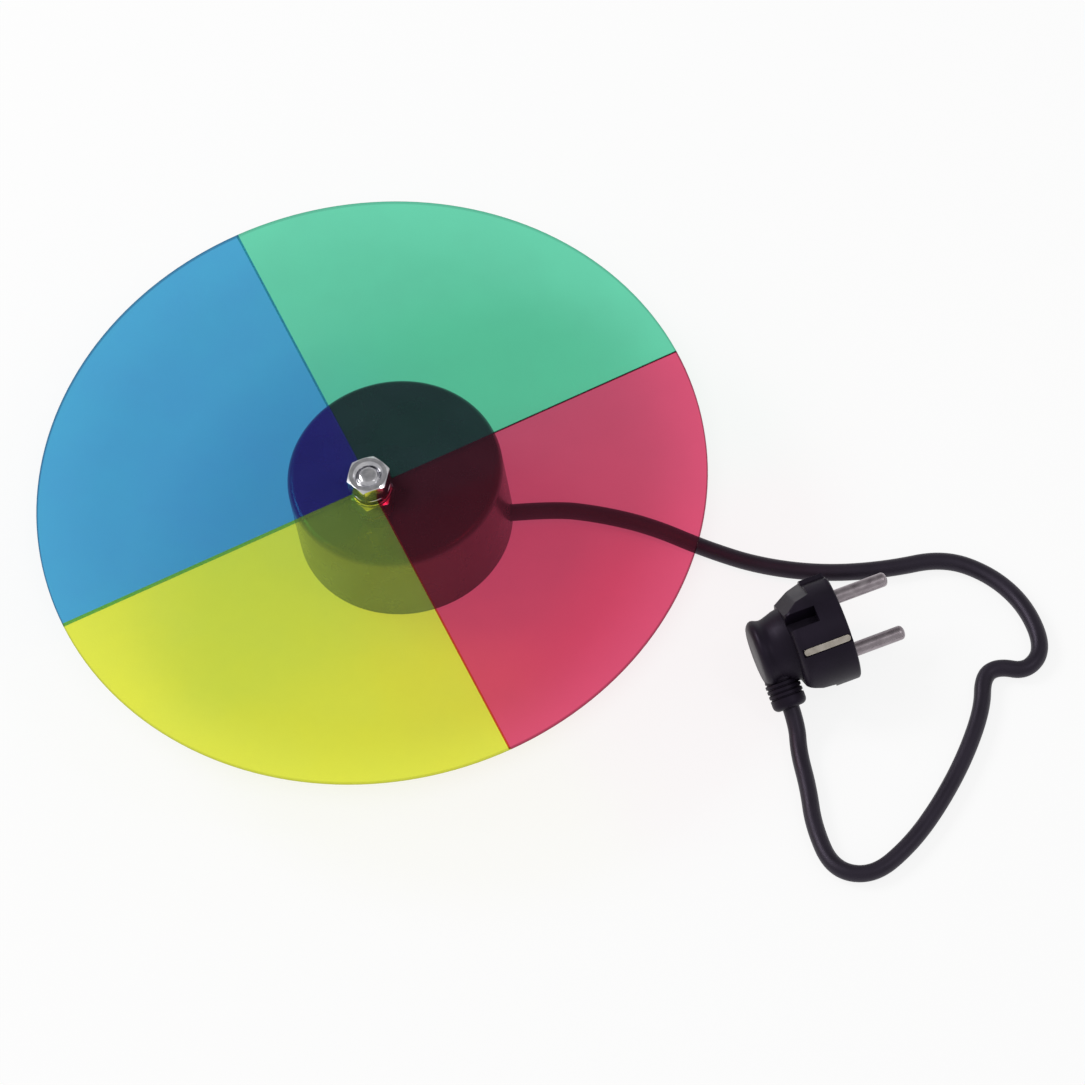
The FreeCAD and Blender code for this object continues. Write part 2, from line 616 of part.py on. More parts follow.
def gear_face(teeth, shift, phase, flank_steps, centre):
    """A toothed face: each flank is an involute of 20 degrees, in a few straight steps.

    The half width of a tooth at a radius is its half width on the pitch circle plus the involute
    of the pressure angle, less the involute of the angle at that radius.
    """
    module = size("tooth_module")
    pressure = math.radians(20)
    pitch_radius = module * teeth / 2
    base_radius = pitch_radius * math.cos(pressure)
    root_radius = pitch_radius + module * (shift - size("tooth_root"))
    tip_radius = pitch_radius + module * (shift + size("tooth_crest"))
    start_radius = max(base_radius, root_radius)
    thickness = module * (math.pi / 2 + 2 * shift * math.tan(pressure)) - size("backlash") / 2
    half_width = thickness / (2 * pitch_radius) + involute(pressure)
    flank = []
    for step in range(flank_steps + 1):
        radius = start_radius + (tip_radius - start_radius) * step / flank_steps
        angle = math.acos(min(1.0, base_radius / radius))
        flank.append((radius, half_width - involute(angle)))
    if root_radius < start_radius:
        flank.insert(0, (root_radius, flank[0][1]))
    points = []
    for tooth in range(teeth):
        middle = math.radians(phase) + 2 * math.pi * tooth / teeth
        rising = [(radius, middle - width) for radius, width in flank]
        falling = [(radius, middle + width) for radius, width in reversed(flank)]
        for radius, angle in rising + falling:
            points.append(centre + FreeCAD.Vector(radius * math.cos(angle), radius * math.sin(angle), 0))
    return Part.Face(Part.makePolygon(points + points[:1]))


def gear_layer(kind, phase, centre, under, top):
    """One wheel or pinion between two heights."""
    teeth = int(size(f"{kind}_teeth"))
    shift = size("tooth_shift") if kind == "pinion" else size("-tooth_shift")
    steps = 2 if kind == "pinion" else 1
    face = gear_face(teeth, shift, phase, steps, centre)
    face.translate(FreeCAD.Vector(0, 0, under))
    return face.extrude(FreeCAD.Vector(0, 0, top - under))


def meshing_phase(phase, bearing, teeth, other_teeth):
    """The phase at which a gear meshes with one of the given phase, seen along a bearing."""
    lead = (phase - bearing) * teeth / other_teeth
    return bearing + 180 - lead + 180 / other_teeth


def post(radius, centre, under, top):
    return Part.makeCylinder(radius, top - under, centre + FreeCAD.Vector(0, 0, under))


def feature_of(name, shape):
    """Keep a shape made from the sheet's sizes as a sub-part of its own."""
    item = doc.addObject("Part::Feature", name)
    item.Label = name
    item.Shape = shape
    item.Placement = FreeCAD.Placement()
    return item


def bearing_of(start, end):
    return math.degrees(math.atan2(end.y - start.y, end.x - start.x))


def make_gears():
    """The output gear, three idlers and the rotor's hub with its pinion, all in mesh."""
    spindle_axis = FreeCAD.Vector(0, 0, 0)
    rotor_axis = FreeCAD.Vector(size("can_x"), size("can_y"), 0)
    idler = FreeCAD.Vector(size("idler_x"), size("idler_y"), 0)
    wheel = int(size("wheel_teeth"))
    pinion = int(size("pinion_teeth"))
    layers = [size(f"layer_{word}") for word in ("one", "two", "three", "four")]
    tops = [layer + size("face_width") for layer in layers]
    bore = size("pin_hole")
    foot = bore + size("collar_wall")
    play = size("end_gap")

    output = gear_layer("wheel", 0, spindle_axis, layers[3], tops[3])
    hub = post(size("hub_radius"), spindle_axis, size("hub_under"), size("hub_top"))
    output = output.fuse(hub).cut(post(size("gear_seat"), spindle_axis, 0, size("can_height")))
    pieces = [feature_of("output_gear", output.removeSplitter())]

    # Each idler's pinion drives the wheel before it; its own wheel is driven by the next pinion.
    phase = meshing_phase(0, bearing_of(spindle_axis, idler), wheel, pinion)
    for number in (3, 2, 1):
        layer = number - 1
        centre, other = (rotor_axis, idler) if number == 2 else (idler, rotor_axis)
        shape = gear_layer("wheel", phase, centre, layers[layer], tops[layer])
        shape = shape.fuse(gear_layer("pinion", phase, centre, tops[layer], tops[layer + 1]))
        collar = post(foot, centre, layers[layer] - size("collar_drop"), layers[layer])
        shape = shape.fuse(collar).cut(post(bore, centre, 0, size("can_height")))
        pieces.append(feature_of(f"idler_gear_{number}", shape.removeSplitter()))
        phase = meshing_phase(phase, bearing_of(centre, other), wheel, pinion)

    neck = post(size("neck_radius"), rotor_axis, size("magnet_top"), layers[0])
    core = post(size("magnet_bore"), rotor_axis, size("magnet_floor"), size("magnet_top"))
    stand = post(foot, rotor_axis, size("stator_inside") + play, size("magnet_floor"))
    rotor = gear_layer("pinion", phase, rotor_axis, layers[0], tops[0]).fuse([neck, core, stand])
    rotor = rotor.cut(post(bore, rotor_axis, 0, size("can_height")))
    pieces.append(feature_of("rotor_hub", rotor.removeSplitter()))
    return pieces


# The can, its cover and what fastens them


def make_can():
    body = turned_body(
        "motor_housing",
        [
            (0, "can_height"),
            ("can_radius", "can_height"),
            ("can_radius", 0),
            ("can_inner", 0),
            ("can_inner", "ceiling"),
            (0, "ceiling"),
        ],
        "can_x",
        "can_y",
    )
    for turn, length in (("base_turn", "base_boss_long"), ("motor_turn", "motor_boss_long")):
        sketch = new_sketch(body, height="ceiling", turn=turn)
        circle(sketch, "boss_radius", "boss_circle")
        ring_of(body, pad(body, sketch, length, down=True), 3)
    for turn, height in (("base_turn", "pad_top"), ("motor_turn", "plate_top")):
        sketch = new_sketch(body, height=height, turn=turn)
        circle(sketch, "screw_radius", "boss_circle")
        ring_of(body, pocket(body, sketch, "pilot_depth", up=True), 3)
    sketch = new_sketch(body, height="can_height")
    circle(sketch, "bush_hole", "spindle_dx", "spindle_dy")
    pocket(body, sketch, "can_roof")

    hole = body.newObject("PartDesign::SubtractiveCylinder", "lead_hole")
    hole.AttachmentSupport = [(origin_feature(body, "XY_Plane"), "")]
    hole.MapMode = "FlatFace"
    heading = FreeCAD.Rotation(size("lead_heading"), 90, 0)
    outside = FreeCAD.Vector(size("exit_dx"), size("exit_dy"), 0)
    start = outside - polar(size("clamp_from"), size("lead_heading"))
    start.z = size("lead_lift")
    hole.AttachmentOffset = FreeCAD.Placement(start, heading)
    bind(hole, Radius="lead_hole", Height="clamp_from")
    hole.Height = size("clamp_from") + size("can_wall")
    hole.setExpression("Height", "Sizes.clamp_from + Sizes.can_wall")
    doc.recompute()

    radius, height = size("can_radius"), size("can_height")
    round_edges(body, "can_edge", lambda edge: is_circle(edge, radius, height))
    return body


def make_cover():
    body = new_body("base_cover")
    sketch = new_sketch(body)
    circle(sketch, "cover_radius")
    pad(body, sketch, "cover_thick")
    sketch = new_sketch(body, turn="base_turn")
    circle(sketch, "pad_radius", "boss_circle")
    ring_of(body, pad(body, sketch, "pad_top"), 3)
    sketch = new_sketch(body, turn=90)
    circle(sketch, "insert_boss", "insert_half")
    ring_of(body, pad(body, sketch, "insert_top"), 2)
    for side in ("clamp_pitch", "-clamp_pitch"):
        sketch = clamp_sketch(body)
        circle(sketch, "post_radius", side)
        pad(body, sketch, "clamp_rise")
    for radius, depth in (("sunk_radius", "sunk_depth"), ("screw_hole", "pad_top")):
        sketch = new_sketch(body, turn="base_turn")
        circle(sketch, radius, "boss_circle")
        ring_of(body, pocket(body, sketch, depth, up=True), 3)
    sketch = new_sketch(body, turn=90)
    circle(sketch, "insert_radius", "insert_half")
    ring_of(body, pocket(body, sketch, "insert_length", up=True), 2)
    for side in ("clamp_pitch", "-clamp_pitch"):
        sketch = clamp_sketch(body, height="clamp_rise")
        circle(sketch, "screw_radius", side)
        pocket(body, sketch, "post_depth")
    move(body, "can_x", "can_y")
    return body


def clamp_sketch(body, height=0):
    """A sketch whose X axis runs across the lead at its clamp, in a body on the can's axis."""
    sketch = new_sketch(body, height=height, shift="clamp_dx", rise="clamp_dy", turn="clamp_turn")
    return sketch


def make_inserts():
    body = new_body("mounting_inserts", many=True)
    sketch = new_sketch(body)
    circle(sketch, "insert_radius", "insert_half")
    ring_of(body, pad(body, sketch, "insert_length"), 2)
    sketch = new_sketch(body)
    circle(sketch, "insert_bore", "insert_half")
    ring_of(body, pocket(body, sketch, "insert_length", up=True), 2)
    move(body, "can_x", "can_y", 0, 90)
    return body


def make_clamp():
    """A bar over the lead, with a half-round saddle, and its two screws."""
    body = new_body("cord_clamp")
    sketch = new_sketch(body, "XZ_Plane")
    outline(
        sketch,
        [
            ("-clamp_half", "clamp_rise"),
            ("clamp_half", "clamp_rise"),
            ("clamp_half", "clamp_top"),
            ("-clamp_half", "clamp_top"),
        ],
    )
    bar = pad(body, sketch, "clamp_long")
    bar.Midplane = True
    doc.recompute()
    sketch = new_sketch(body, "XZ_Plane")
    circle(sketch, "lead_radius", 0, "lead_lift")
    saddle = body.newObject("PartDesign::Pocket", "saddle")
    saddle.Profile = sketch
    saddle.Midplane = True
    bind(saddle, Length="clamp_long")
    for side in ("clamp_pitch", "-clamp_pitch"):
        sketch = new_sketch(body, height="clamp_top")
        circle(sketch, "screw_hole", side)
        pocket(body, sketch, "clamp_thick")
    move(body, "clamp_x", "clamp_y", 0, "clamp_turn")

    screws = screws_in_ring(
        "clamp_screws", "clamp_pitch", 2, "clamp_turn", ("clamp_head", "clamp_top", "clamp_screw_end")
    )
    move(screws, "clamp_x", "clamp_y", 0, "clamp_turn")
    return [body, screws]


def make_housing_screws():
    base = screws_in_ring(
        "base_screws", "boss_circle", 3, "base_turn", ("head_room", "sunk_depth", "base_screw_end")
    )
    motor = screws_in_ring(
        "motor_screws", "boss_circle", 3, "motor_turn", ("motor_head_end", "plate_under", "motor_screw_end")
    )
    return [base, motor]


# The motor and its gearbox


def poles(body, under, top, turn=0):
    """Six tapered poles that stand on a plate round the rotor; under is the wider end."""
    sketch = new_sketch(body, "YZ_Plane", height="pole_inner", turn=turn)
    outline(
        sketch,
        [
            ("-pole_root_half", under),
            ("pole_root_half", under),
            ("pole_tip_half", top),
            ("-pole_tip_half", top),
        ],
    )
    ring_of(body, pad(body, sketch, "metal"), "pole_count")


def make_stator():
    cup = turned_body(
        "stator_cup",
        [
            ("pin_radius", "stator_floor"),
            ("stator_radius", "stator_floor"),
            ("stator_radius", "plate_under"),
            ("stator_bore", "plate_under"),
            ("stator_bore", "stator_inside"),
            ("pin_radius", "stator_inside"),
        ],
    )
    poles(cup, "stator_floor", "pole_reach")
    sketch = new_sketch(cup, height="plate_under")
    outline(
        sketch,
        [
            ("notch_from", "-lug_half"),
            ("notch_to", "-lug_half"),
            ("notch_to", "lug_half"),
            ("notch_from", "lug_half"),
        ],
    )
    pocket(cup, sketch, "lug_height")
    move(cup, "can_x", "can_y", 0, "tag_bearing")

    plate = bushing("pole_plate", "pole_middle", "plate_edge", "pole_under", "plate_under")
    poles(plate, "plate_under", "pole_drop")
    move(plate, "can_x", "can_y", 0, "pole_turn")

    bobbin = turned_body(
        "coil_bobbin",
        [
            ("bobbin_inner", "stator_inside"),
            ("bobbin_edge", "stator_inside"),
            ("bobbin_edge", "coil_floor"),
            ("bobbin_core", "coil_floor"),
            ("bobbin_core", "coil_top"),
            ("bobbin_edge", "coil_top"),
            ("bobbin_edge", "pole_under"),
            ("bobbin_inner", "pole_under"),
        ],
    )
    sketch = new_sketch(bobbin, height="pole_under")
    outline(
        sketch,
        [
            ("notch_from", "-lug_side"),
            ("lug_end", "-lug_side"),
            ("lug_end", "lug_side"),
            ("notch_from", "lug_side"),
        ],
    )
    pad(bobbin, sketch, "lug_tall", down=True)
    move(bobbin, "can_x", "can_y", 0, "tag_bearing")

    winding = bushing("coil_winding", "bobbin_core", "coil_edge", "coil_floor", "coil_top", "can_x", "can_y")

    tags = new_body("coil_tags", many=True)
    for low, high in (("tag_inner", "tag_outer"), ("-tag_outer", "-tag_inner")):
        sketch = new_sketch(tags, height="tag_under")
        outline(sketch, [("lug_end", low), ("tag_end", low), ("tag_end", high), ("lug_end", high)])
        pad(tags, sketch, "tag_thick")
    move(tags, "can_x", "can_y", 0, "tag_bearing")
    return [cup, plate, bobbin, winding, tags]


def make_gearbox():
    plate = new_body("gear_plate")
    sketch = new_sketch(plate, height="plate_under")
    circle(sketch, "gearbox_radius")
    pad(plate, sketch, "plate_thick")
    sketch = new_sketch(plate, height="plate_under", turn="motor_turn")
    outline(
        sketch,
        [
            ("ear_root", "-ear_half"),
            ("boss_circle", "-ear_half"),
            ("ear_end", "-ear_tip_half"),
            ("ear_end", "ear_tip_half"),
            ("boss_circle", "ear_half"),
            ("ear_root", "ear_half"),
        ],
    )
    ring_of(plate, pad(plate, sketch, "plate_thick"), 3)
    sketch = new_sketch(plate, height="plate_under", turn="motor_turn")
    circle(sketch, "screw_hole", "boss_circle")
    ring_of(plate, pocket(plate, sketch, "plate_thick", up=True), 3)
    sketch = new_sketch(plate, height="plate_under")
    circle(sketch, "neck_hole")
    circle(sketch, "pin_radius", "idler_dx", "idler_dy")
    circle(sketch, "pivot_hole", "spindle_dx", "spindle_dy")
    pocket(plate, sketch, "plate_thick", up=True)
    move(plate, "can_x", "can_y")

    cover = turned_body(
        "gearbox_cover",
        [
            (0, "box_top"),
            ("gearbox_radius", "box_top"),
            ("gearbox_radius", "plate_top"),
            ("gearbox_inner", "plate_top"),
            ("gearbox_inner", "box_under"),
            (0, "box_under"),
        ],
        "can_x",
        "can_y",
    )
    sketch = new_sketch(cover, height="box_under")
    circle(sketch, "pin_radius")
    circle(sketch, "pin_radius", "idler_dx", "idler_dy")
    circle(sketch, "bush_radius", "spindle_dx", "spindle_dy")
    pocket(cover, sketch, "metal", up=True)

    bush = turned_body(
        "output_bush",
        [
            ("bush_bore", "box_under"),
            ("bush_radius", "box_under"),
            ("bush_radius", "box_top"),
            ("flange_radius", "box_top"),
            ("flange_radius", "flange_top"),
            ("bush_radius", "flange_top"),
            ("bush_radius", "bush_top"),
            ("bush_bore", "bush_top"),
        ],
    )
    pins = [
        fixed_pin("rotor_pin", "stator_floor", "can_x", "can_y"),
        fixed_pin("idler_pin", "plate_under", "idler_x", "idler_y"),
    ]
    levels = ("magnet_floor", "magnet_top")
    magnet = bushing("rotor_magnet", "magnet_bore", "rotor_radius", *levels, "can_x", "can_y")
    return [plate, cover, bush, magnet] + pins


def fixed_pin(name, under, x, y):
    """A pin that is held in the roof of the gearbox and in the plate at its foot."""
    pin = doc.addObject("Part::Cylinder", name)
    pin.Label = name
    pin.Height = size("box_top") - size(under)
    bind(pin, Radius="pin_radius")
    pin.setExpression("Height", f"Sizes.box_top - Sizes.{under}")
    move(pin, x, y, under)
    return pin


# What turns with the disc


def make_spindle():
    body = turned_body(
        "spindle",
        [
            (0, "plate_under"),
            ("pivot_radius", "plate_under"),
            ("pivot_radius", "hub_under"),
            ("gear_seat", "hub_under"),
            ("gear_seat", "hub_top"),
            ("spindle_radius", "hub_top"),
            ("spindle_radius", "ring_under"),
            ("ring_groove", "ring_under"),
            ("ring_groove", "groove_top"),
            ("spindle_radius", "groove_top"),
            ("spindle_radius", "end_bevel"),
            ("end_face", "spindle_top"),
            (0, "spindle_top"),
        ],
    )
    ring = bushing("retaining_ring", "ring_bore", "ring_radius", "ring_under", "ring_top")
    sketch = new_sketch(ring, height="ring_top")
    outline(
        sketch,
        [
            (0, "-ring_mouth"),
            ("ring_clear", "-ring_mouth"),
            ("ring_clear", "ring_mouth"),
            (0, "ring_mouth"),
        ],
    )
    pocket(ring, sketch, "ring_thick")
    return [body, ring]


def make_nut(name, under):
    """A hexagon nut with bevelled corners and a countersunk thread at both ends."""
    body = new_body(name)
    sketch = new_sketch(body)
    outline(
        sketch,
        [
            ("nut_corner", 0),
            ("nut_corner_half", "nut_half"),
            ("-nut_corner_half", "nut_half"),
            ("-nut_corner", 0),
            ("-nut_corner_half", "-nut_half"),
            ("nut_corner_half", "-nut_half"),
        ],
    )
    pad(body, sketch, "nut_height")
    sketch = new_sketch(body)
    circle(sketch, "clamp_bore")
    pocket(body, sketch, "nut_height", up=True)
    sketch = new_sketch(body, "XZ_Plane")
    outline(sketch, [("nut_face", "nut_height"), ("nut_far", "nut_height"), ("nut_far", "bevel_top")])
    outline(sketch, [("nut_face", 0), ("nut_far", 0), ("nut_far", "nut_bevel")])
    outline(sketch, [(0, "nut_height"), ("nut_mouth", "nut_height"), (0, "mouth_apex")])
    bevels = body.newObject("PartDesign::Groove", f"{name}_bevels")
    bevels.Profile = sketch
    bevels.ReferenceAxis = (sketch, ["V_Axis"])
    bevels.Angle = 360
    move(body, 0, 0, under, "nut_turn")
    doc.recompute()
    return body


def make_filter(name, quarter):
    """A quarter of the disc; each straight edge is stepped to overlap its neighbour's."""
    body = new_body(name)
    sketch = new_sketch(body)
    circle(sketch, "disc_radius")
    circle(sketch, "clamp_bore")
    pad(body, sketch, "disc_thick")
    sketch = new_sketch(body)
    outline(
        sketch,
        [
            ("-disc_far", "-disc_far"),
            ("disc_far", "-disc_far"),
            ("disc_far", "-tongue"),
            ("-tongue", "-tongue"),
            ("-tongue", "disc_far"),
            ("-disc_far", "disc_far"),
        ],
    )
    pocket(body, sketch, "disc_thick", up=True)
    sketch = new_sketch(body, height="lower_tongue_top")
    outline(
        sketch,
        [
            ("-disc_far", "-disc_far"),
            ("lap_half", "-disc_far"),
            ("lap_half", "disc_far"),
            ("-disc_far", "disc_far"),
        ],
    )
    pocket(body, sketch, "upper_tongue_under", up=True)
    sketch = new_sketch(body)
    outline(
        sketch,
        [
            ("-disc_far", "-disc_far"),
            ("disc_far", "-disc_far"),
            ("disc_far", "lap_half"),
            ("-disc_far", "lap_half"),
        ],
    )
    pocket(body, sketch, "upper_tongue_under", up=True)
    turn = FreeCAD.Rotation(FreeCAD.Vector(0, 0, 1), size("seam_turn") + 90 * quarter)
    body.Placement = FreeCAD.Placement(FreeCAD.Vector(0, 0, size("disc_under")), turn)
    bind(body, Placement__Base__z="disc_under")
    body.setExpression("Placement.Rotation.Angle", f"Sizes.seam_turn + {90 * quarter}")
    return body


def make_disc():
    pieces = [
        bushing("lower_washer", "clamp_bore", "washer_radius", "lower_nut_top", "disc_under"),
        bushing("upper_washer", "clamp_bore", "washer_radius", "disc_top", "upper_nut_under"),
        make_nut("lower_nut", "lower_nut_under"),
        make_nut("upper_nut", "upper_nut_under"),
    ]
    for quarter, colour in enumerate(("green", "blue", "yellow", "red")):
        pieces.append(make_filter(f"filter_{colour}", quarter))
    return pieces


# The mains lead


def lead_route():
    """The lead's corners from the clamp to the plug: first inside the can, then on the floor."""
    heading = size("lead_heading")
    out = FreeCAD.Vector(size("can_x") + size("exit_dx"), size("can_y") + size("exit_dy"), size("lead_lift"))
    floor = size("lead_radius")
    start = out - polar(size("lead_inside"), heading)
    plug = doc.getObject("plug_body").Placement
    drop = math.radians(size("outlet_drop"))
    along = plug.Rotation.multVec(FreeCAD.Vector(-math.cos(drop), -math.sin(drop), 0))
    root = plug.multVec(FreeCAD.Vector(0, 0, -size("outlet_depth")))
    inside = root + along * (size("outlet_reach") - size("lead_sunk"))
    ahead = root + along * (size("outlet_reach") + size("lead_ahead"))
    lying = [
        (72.5, -5.6, 3.0),
        (88.0, -14.8, floor),
        (102.5, -27.4, floor),
        (119.0, -39.2, floor),
        (139.0, -47.8, floor),
        (159.5, -51.8, floor),
        (178.5, -52.4, floor),
        (192.0, -62.6, floor),
        (200.6, -77.4, floor),
        (202.6, -94.8, floor),
        (195.2, -101.9, floor),
        (186.4, -97.4, floor),
        (180.7, -99.9, floor),
        (177.8, -111.5, floor),
        (168.4, -127.4, floor),
        (156.4, -142.4, floor),
        (143.6, -154.6, floor),
        (129.2, -162.8, floor),
        (117.0, -157.0, floor),
        (114.6, -139.8, floor),
        (116.1, -125.0, floor),
        (116.0, -111.5, floor),
    ]
    first = out + polar(size("lead_outside"), heading)
    return [start, first] + [FreeCAD.Vector(*point) for point in lying] + [ahead, inside]


def rounded_path(points, name):
    """Straight runs joined by tangent arcs, each as large as its two runs allow."""
    edges = []
    radii = []
    last = points[0]
    for before, corner, after in zip(points, points[1:], points[2:]):
        to_before = before - corner
        to_after = after - corner
        shorter = min(to_before.Length, to_after.Length)
        turn = math.pi - to_before.getAngle(to_after)
        reach = 0.45 * shorter
        radii.append(reach / math.tan(turn / 2))
        to_before.normalize()
        to_after.normalize()
        start = corner + to_before * reach
        end = corner + to_after * reach
        centre_line = (to_before + to_after).normalize()
        depth = radii[-1] / math.cos(turn / 2) - radii[-1]
        edges.append(Part.LineSegment(last, start).toShape())
        edges.append(Part.Arc(start, corner + centre_line * depth, end).toShape())
        last = end
    edges.append(Part.LineSegment(last, points[-1]).toShape())
    print(name, "length", round(sum(edge.Length for edge in edges), 1), "radii", [round(r, 1) for r in radii])
    return Part.Wire(edges)


def tube(name, points, radius):
    """A round tube along a path, checked against its section times its length."""
    path = rounded_path(points, name)
    start = path.Edges[0]
    direction = start.tangentAt(start.FirstParameter)
    ring = Part.Wire(Part.makeCircle(radius, points[0], direction))
    solid = path.makePipeShell([ring], True, True)
    wanted = math.pi * radius**2 * path.Length
    if abs(solid.Volume / wanted - 1) > 0.01:
        raise RuntimeError(f"{name} has {solid.Volume:.0f} cubic millimetres instead of {wanted:.0f}")
    return feature_of(name, solid)


def make_cores():
    """The lead's two cores, from the end of its sheath round the stator and up to the coil's tags."""
    heading = size("lead_heading")
    sheath_end = lead_route()[0]
    axis = FreeCAD.Vector(size("can_x"), size("can_y"), 0)
    top = size("tag_under")
    low = top - size("core_rise")
    pieces = []
    for name, side, straight, reach in (
        ("live_core", -1, "core_inward", "core_outer"),
        ("neutral_core", 1, "core_second", "core_inner"),
    ):
        start = sheath_end + polar(side * size("core_aside"), heading + 90)
        aside = polar(side * size("lug_half") / 2, size("tag_bearing") + 90)
        end = axis + polar(size(reach), size("tag_bearing")) - aside
        points = [start, start - polar(size(straight), heading)]
        for step, bearing in ((1, "core_bend"), (2, "core_turn")):
            bend = axis + polar(size(reach), size(bearing))
            bend.z = start.z + (low - start.z) * step / 3
            points.append(bend)
        points += [FreeCAD.Vector(end.x, end.y, low), FreeCAD.Vector(end.x, end.y, top)]
        pieces.append(tube(name, points, size("core_radius")))
    return pieces


# The plug


def place_plug(body, turn=0):
    """Turn a body about its Z, then turn that Z to the pins' direction and its Y upwards."""
    upright = FreeCAD.Vector(0, 0, 1)
    heading = FreeCAD.Rotation(upright, size("plug_heading"))
    lying = FreeCAD.Rotation(FreeCAD.Vector(1, 1, 1), 120)
    place = FreeCAD.Vector(size("plug_x"), size("plug_y"), size("crown_radius"))
    body.Placement = FreeCAD.Placement(place, heading * lying * FreeCAD.Rotation(upright, size(turn)))
    bind(body, Placement__Base__x="plug_x", Placement__Base__y="plug_y", Placement__Base__z="crown_radius")
    return body


def block(sketch, near, far, half):
    """A rectangle from near to far along the sketch's X and half to each side."""
    outline(sketch, [(near, f"-{half}"), (far, f"-{half}"), (far, half), (near, half)])


def make_plug():
    body = turned_body(
        "plug_body",
        [
            (0, 0),
            ("crown_radius", 0),
            ("crown_radius", "crown_back"),
            ("neck_front", "crown_back"),
            ("neck_waist", "waist_back"),
            ("neck_lip", "lip_back"),
            ("neck_back", "plug_back"),
            (0, "plug_back"),
        ],
    )
    crown = size("crown_radius")
    depth = size("crown_depth")
    round_edges(body, "crown_edge", lambda e: is_circle(e, crown, 0))
    round_edges(body, "crown_shoulder", lambda e: is_circle(e, crown, -depth))

    # The outlet for the lead slopes down from the body's negative X, with ribs round it.
    sketch = new_sketch(body, "XZ_Plane", rise="outlet_back", turn="outlet_drop")
    outline(
        sketch,
        [
            (0, 0),
            ("outlet_end", 0),
            ("outlet_end", "outlet_edge_radius"),
            ("outlet_round", "outlet_round_radius"),
            ("outlet_edge", "outlet_tip"),
            ("outlet_shoulder", "outlet_tip"),
            (0, "outlet_root"),
        ],
    )
    spin_about_x(body, sketch)
    sketch = new_sketch(body, "XZ_Plane", rise="outlet_back", turn="outlet_drop")
    outline(
        sketch,
        [
            ("rib_first", 0),
            ("rib_first", "rib_radius"),
            ("rib_first_end", "rib_radius"),
            ("rib_first_end", 0),
        ],
    )
    rib = spin_about_x(body, sketch)
    ribs = body.newObject("PartDesign::LinearPattern", "ribs")
    ribs.Originals = [rib]
    ribs.Direction = (sketch, ["H_Axis"])
    ribs.Mode = "Spacing"
    bind(ribs, Offset="rib_pitch", Occurrences="rib_count")
    body.Tip = ribs
    doc.recompute()

    # Two guide grooves in line with the pins, each with a sloping cutaway behind the collar.
    sketch = new_sketch(body, turn="plug_pin_turn")
    block(sketch, "key_floor", "crown_clear", "key_half")
    ring_of(body, pocket(body, sketch, "collar_depth"), 2)
    sketch = new_sketch(body, "XZ_Plane", turn="plug_pin_turn")
    outline(
        sketch,
        [
            ("flat_front", "collar_back"),
            ("crown_clear", "collar_back"),
            ("crown_clear", "cutaway_back"),
            ("flat_back", "cutaway_back"),
            ("flat_middle", "bend_back"),
        ],
    )
    cutaway = pocket(body, sketch, "flat_width")
    cutaway.Midplane = True
    ring_of(body, cutaway, 2)

    # Two slots beside the grooves, two channels for the earth strips, and the pins' holes.
    sketch = new_sketch(body, height="slot_front", turn="slot_bearing")
    block(sketch, "slot_floor", "crown_clear", "slot_half")
    ring_of(body, pocket(body, sketch, "slot_long"), 2)
    sketch = new_sketch(body, turn="strip_turn")
    block(sketch, "channel_floor", "crown_clear", "channel_half")
    ring_of(body, pocket(body, sketch, "channel_long"), 2)
    sketch = new_sketch(body, turn="plug_pin_turn")
    circle(sketch, "plug_pin_radius", "pin_place")
    ring_of(body, pocket(body, sketch, "plug_pin_root"), 2)
    sketch = new_sketch(body, "XZ_Plane", rise="outlet_back", turn="outlet_drop")
    outline(
        sketch,
        [
            ("outlet_end", 0),
            ("outlet_end", "lead_radius"),
            ("outlet_bore_end", "lead_radius"),
            ("outlet_bore_end", 0),
        ],
    )
    spin_about_x(body, sketch, cut=True)
    place_plug(body)

    pins = new_body("plug_pins", many=True)
    sketch = new_sketch(pins, "XZ_Plane", shift="pin_place")
    outline(
        sketch,
        [
            (0, "pin_root_end"),
            ("plug_pin_radius", "pin_root_end"),
            ("plug_pin_radius", "pin_bevel"),
            ("pin_tip", "plug_pin_long"),
            (0, "plug_pin_long"),
        ],
    )
    ring_of(pins, turned(pins, sketch), 2)
    place_plug(pins, "plug_pin_turn")

    strips = new_body("earth_strips", many=True)
    sketch = new_sketch(strips, height=0)
    block(sketch, "channel_floor", "strip_face", "strip_half")
    ring_of(strips, pad(strips, sketch, "strip_long", down=True), 2)
    place_plug(strips, "strip_turn")
    return [body, pins, strips]


def spin_about_x(body, sketch, cut=False):
    """Revolve a sketch once round its own horizontal axis, to add to the body or to cut it."""
    kind = "Groove" if cut else "Revolution"
    feature = body.newObject(f"PartDesign::{kind}", f"{body.Name}_spun")
    feature.Profile = sketch
    feature.ReferenceAxis = (sketch, ["H_Axis"])
    feature.Angle = 360
    doc.recompute()
    return feature


def check_and_write(pieces):
    """Stop at any failed object or bad shape, then write each piece's file."""
    doc.recompute()
    for item in doc.Objects:
        if "Invalid" in item.State or "Error" in item.State:
            raise RuntimeError(f"{item.Label} failed: {item.State}")
    for piece in pieces:
        if piece.Shape.isNull() or not piece.Shape.isValid():
            raise RuntimeError(f"{piece.Label} has a bad shape")
    os.makedirs(PARTS_FOLDER, exist_ok=True)
    for piece in pieces:
        solids = piece.Shape.Solids
        volume = sum(solid.Volume for solid in solids)
        print(f"{piece.Label}: {len(solids)} solids, {volume:.1f} cubic millimetres")
        piece.Shape.exportStep(os.path.join(PARTS_FOLDER, f"{piece.Label}.step"))


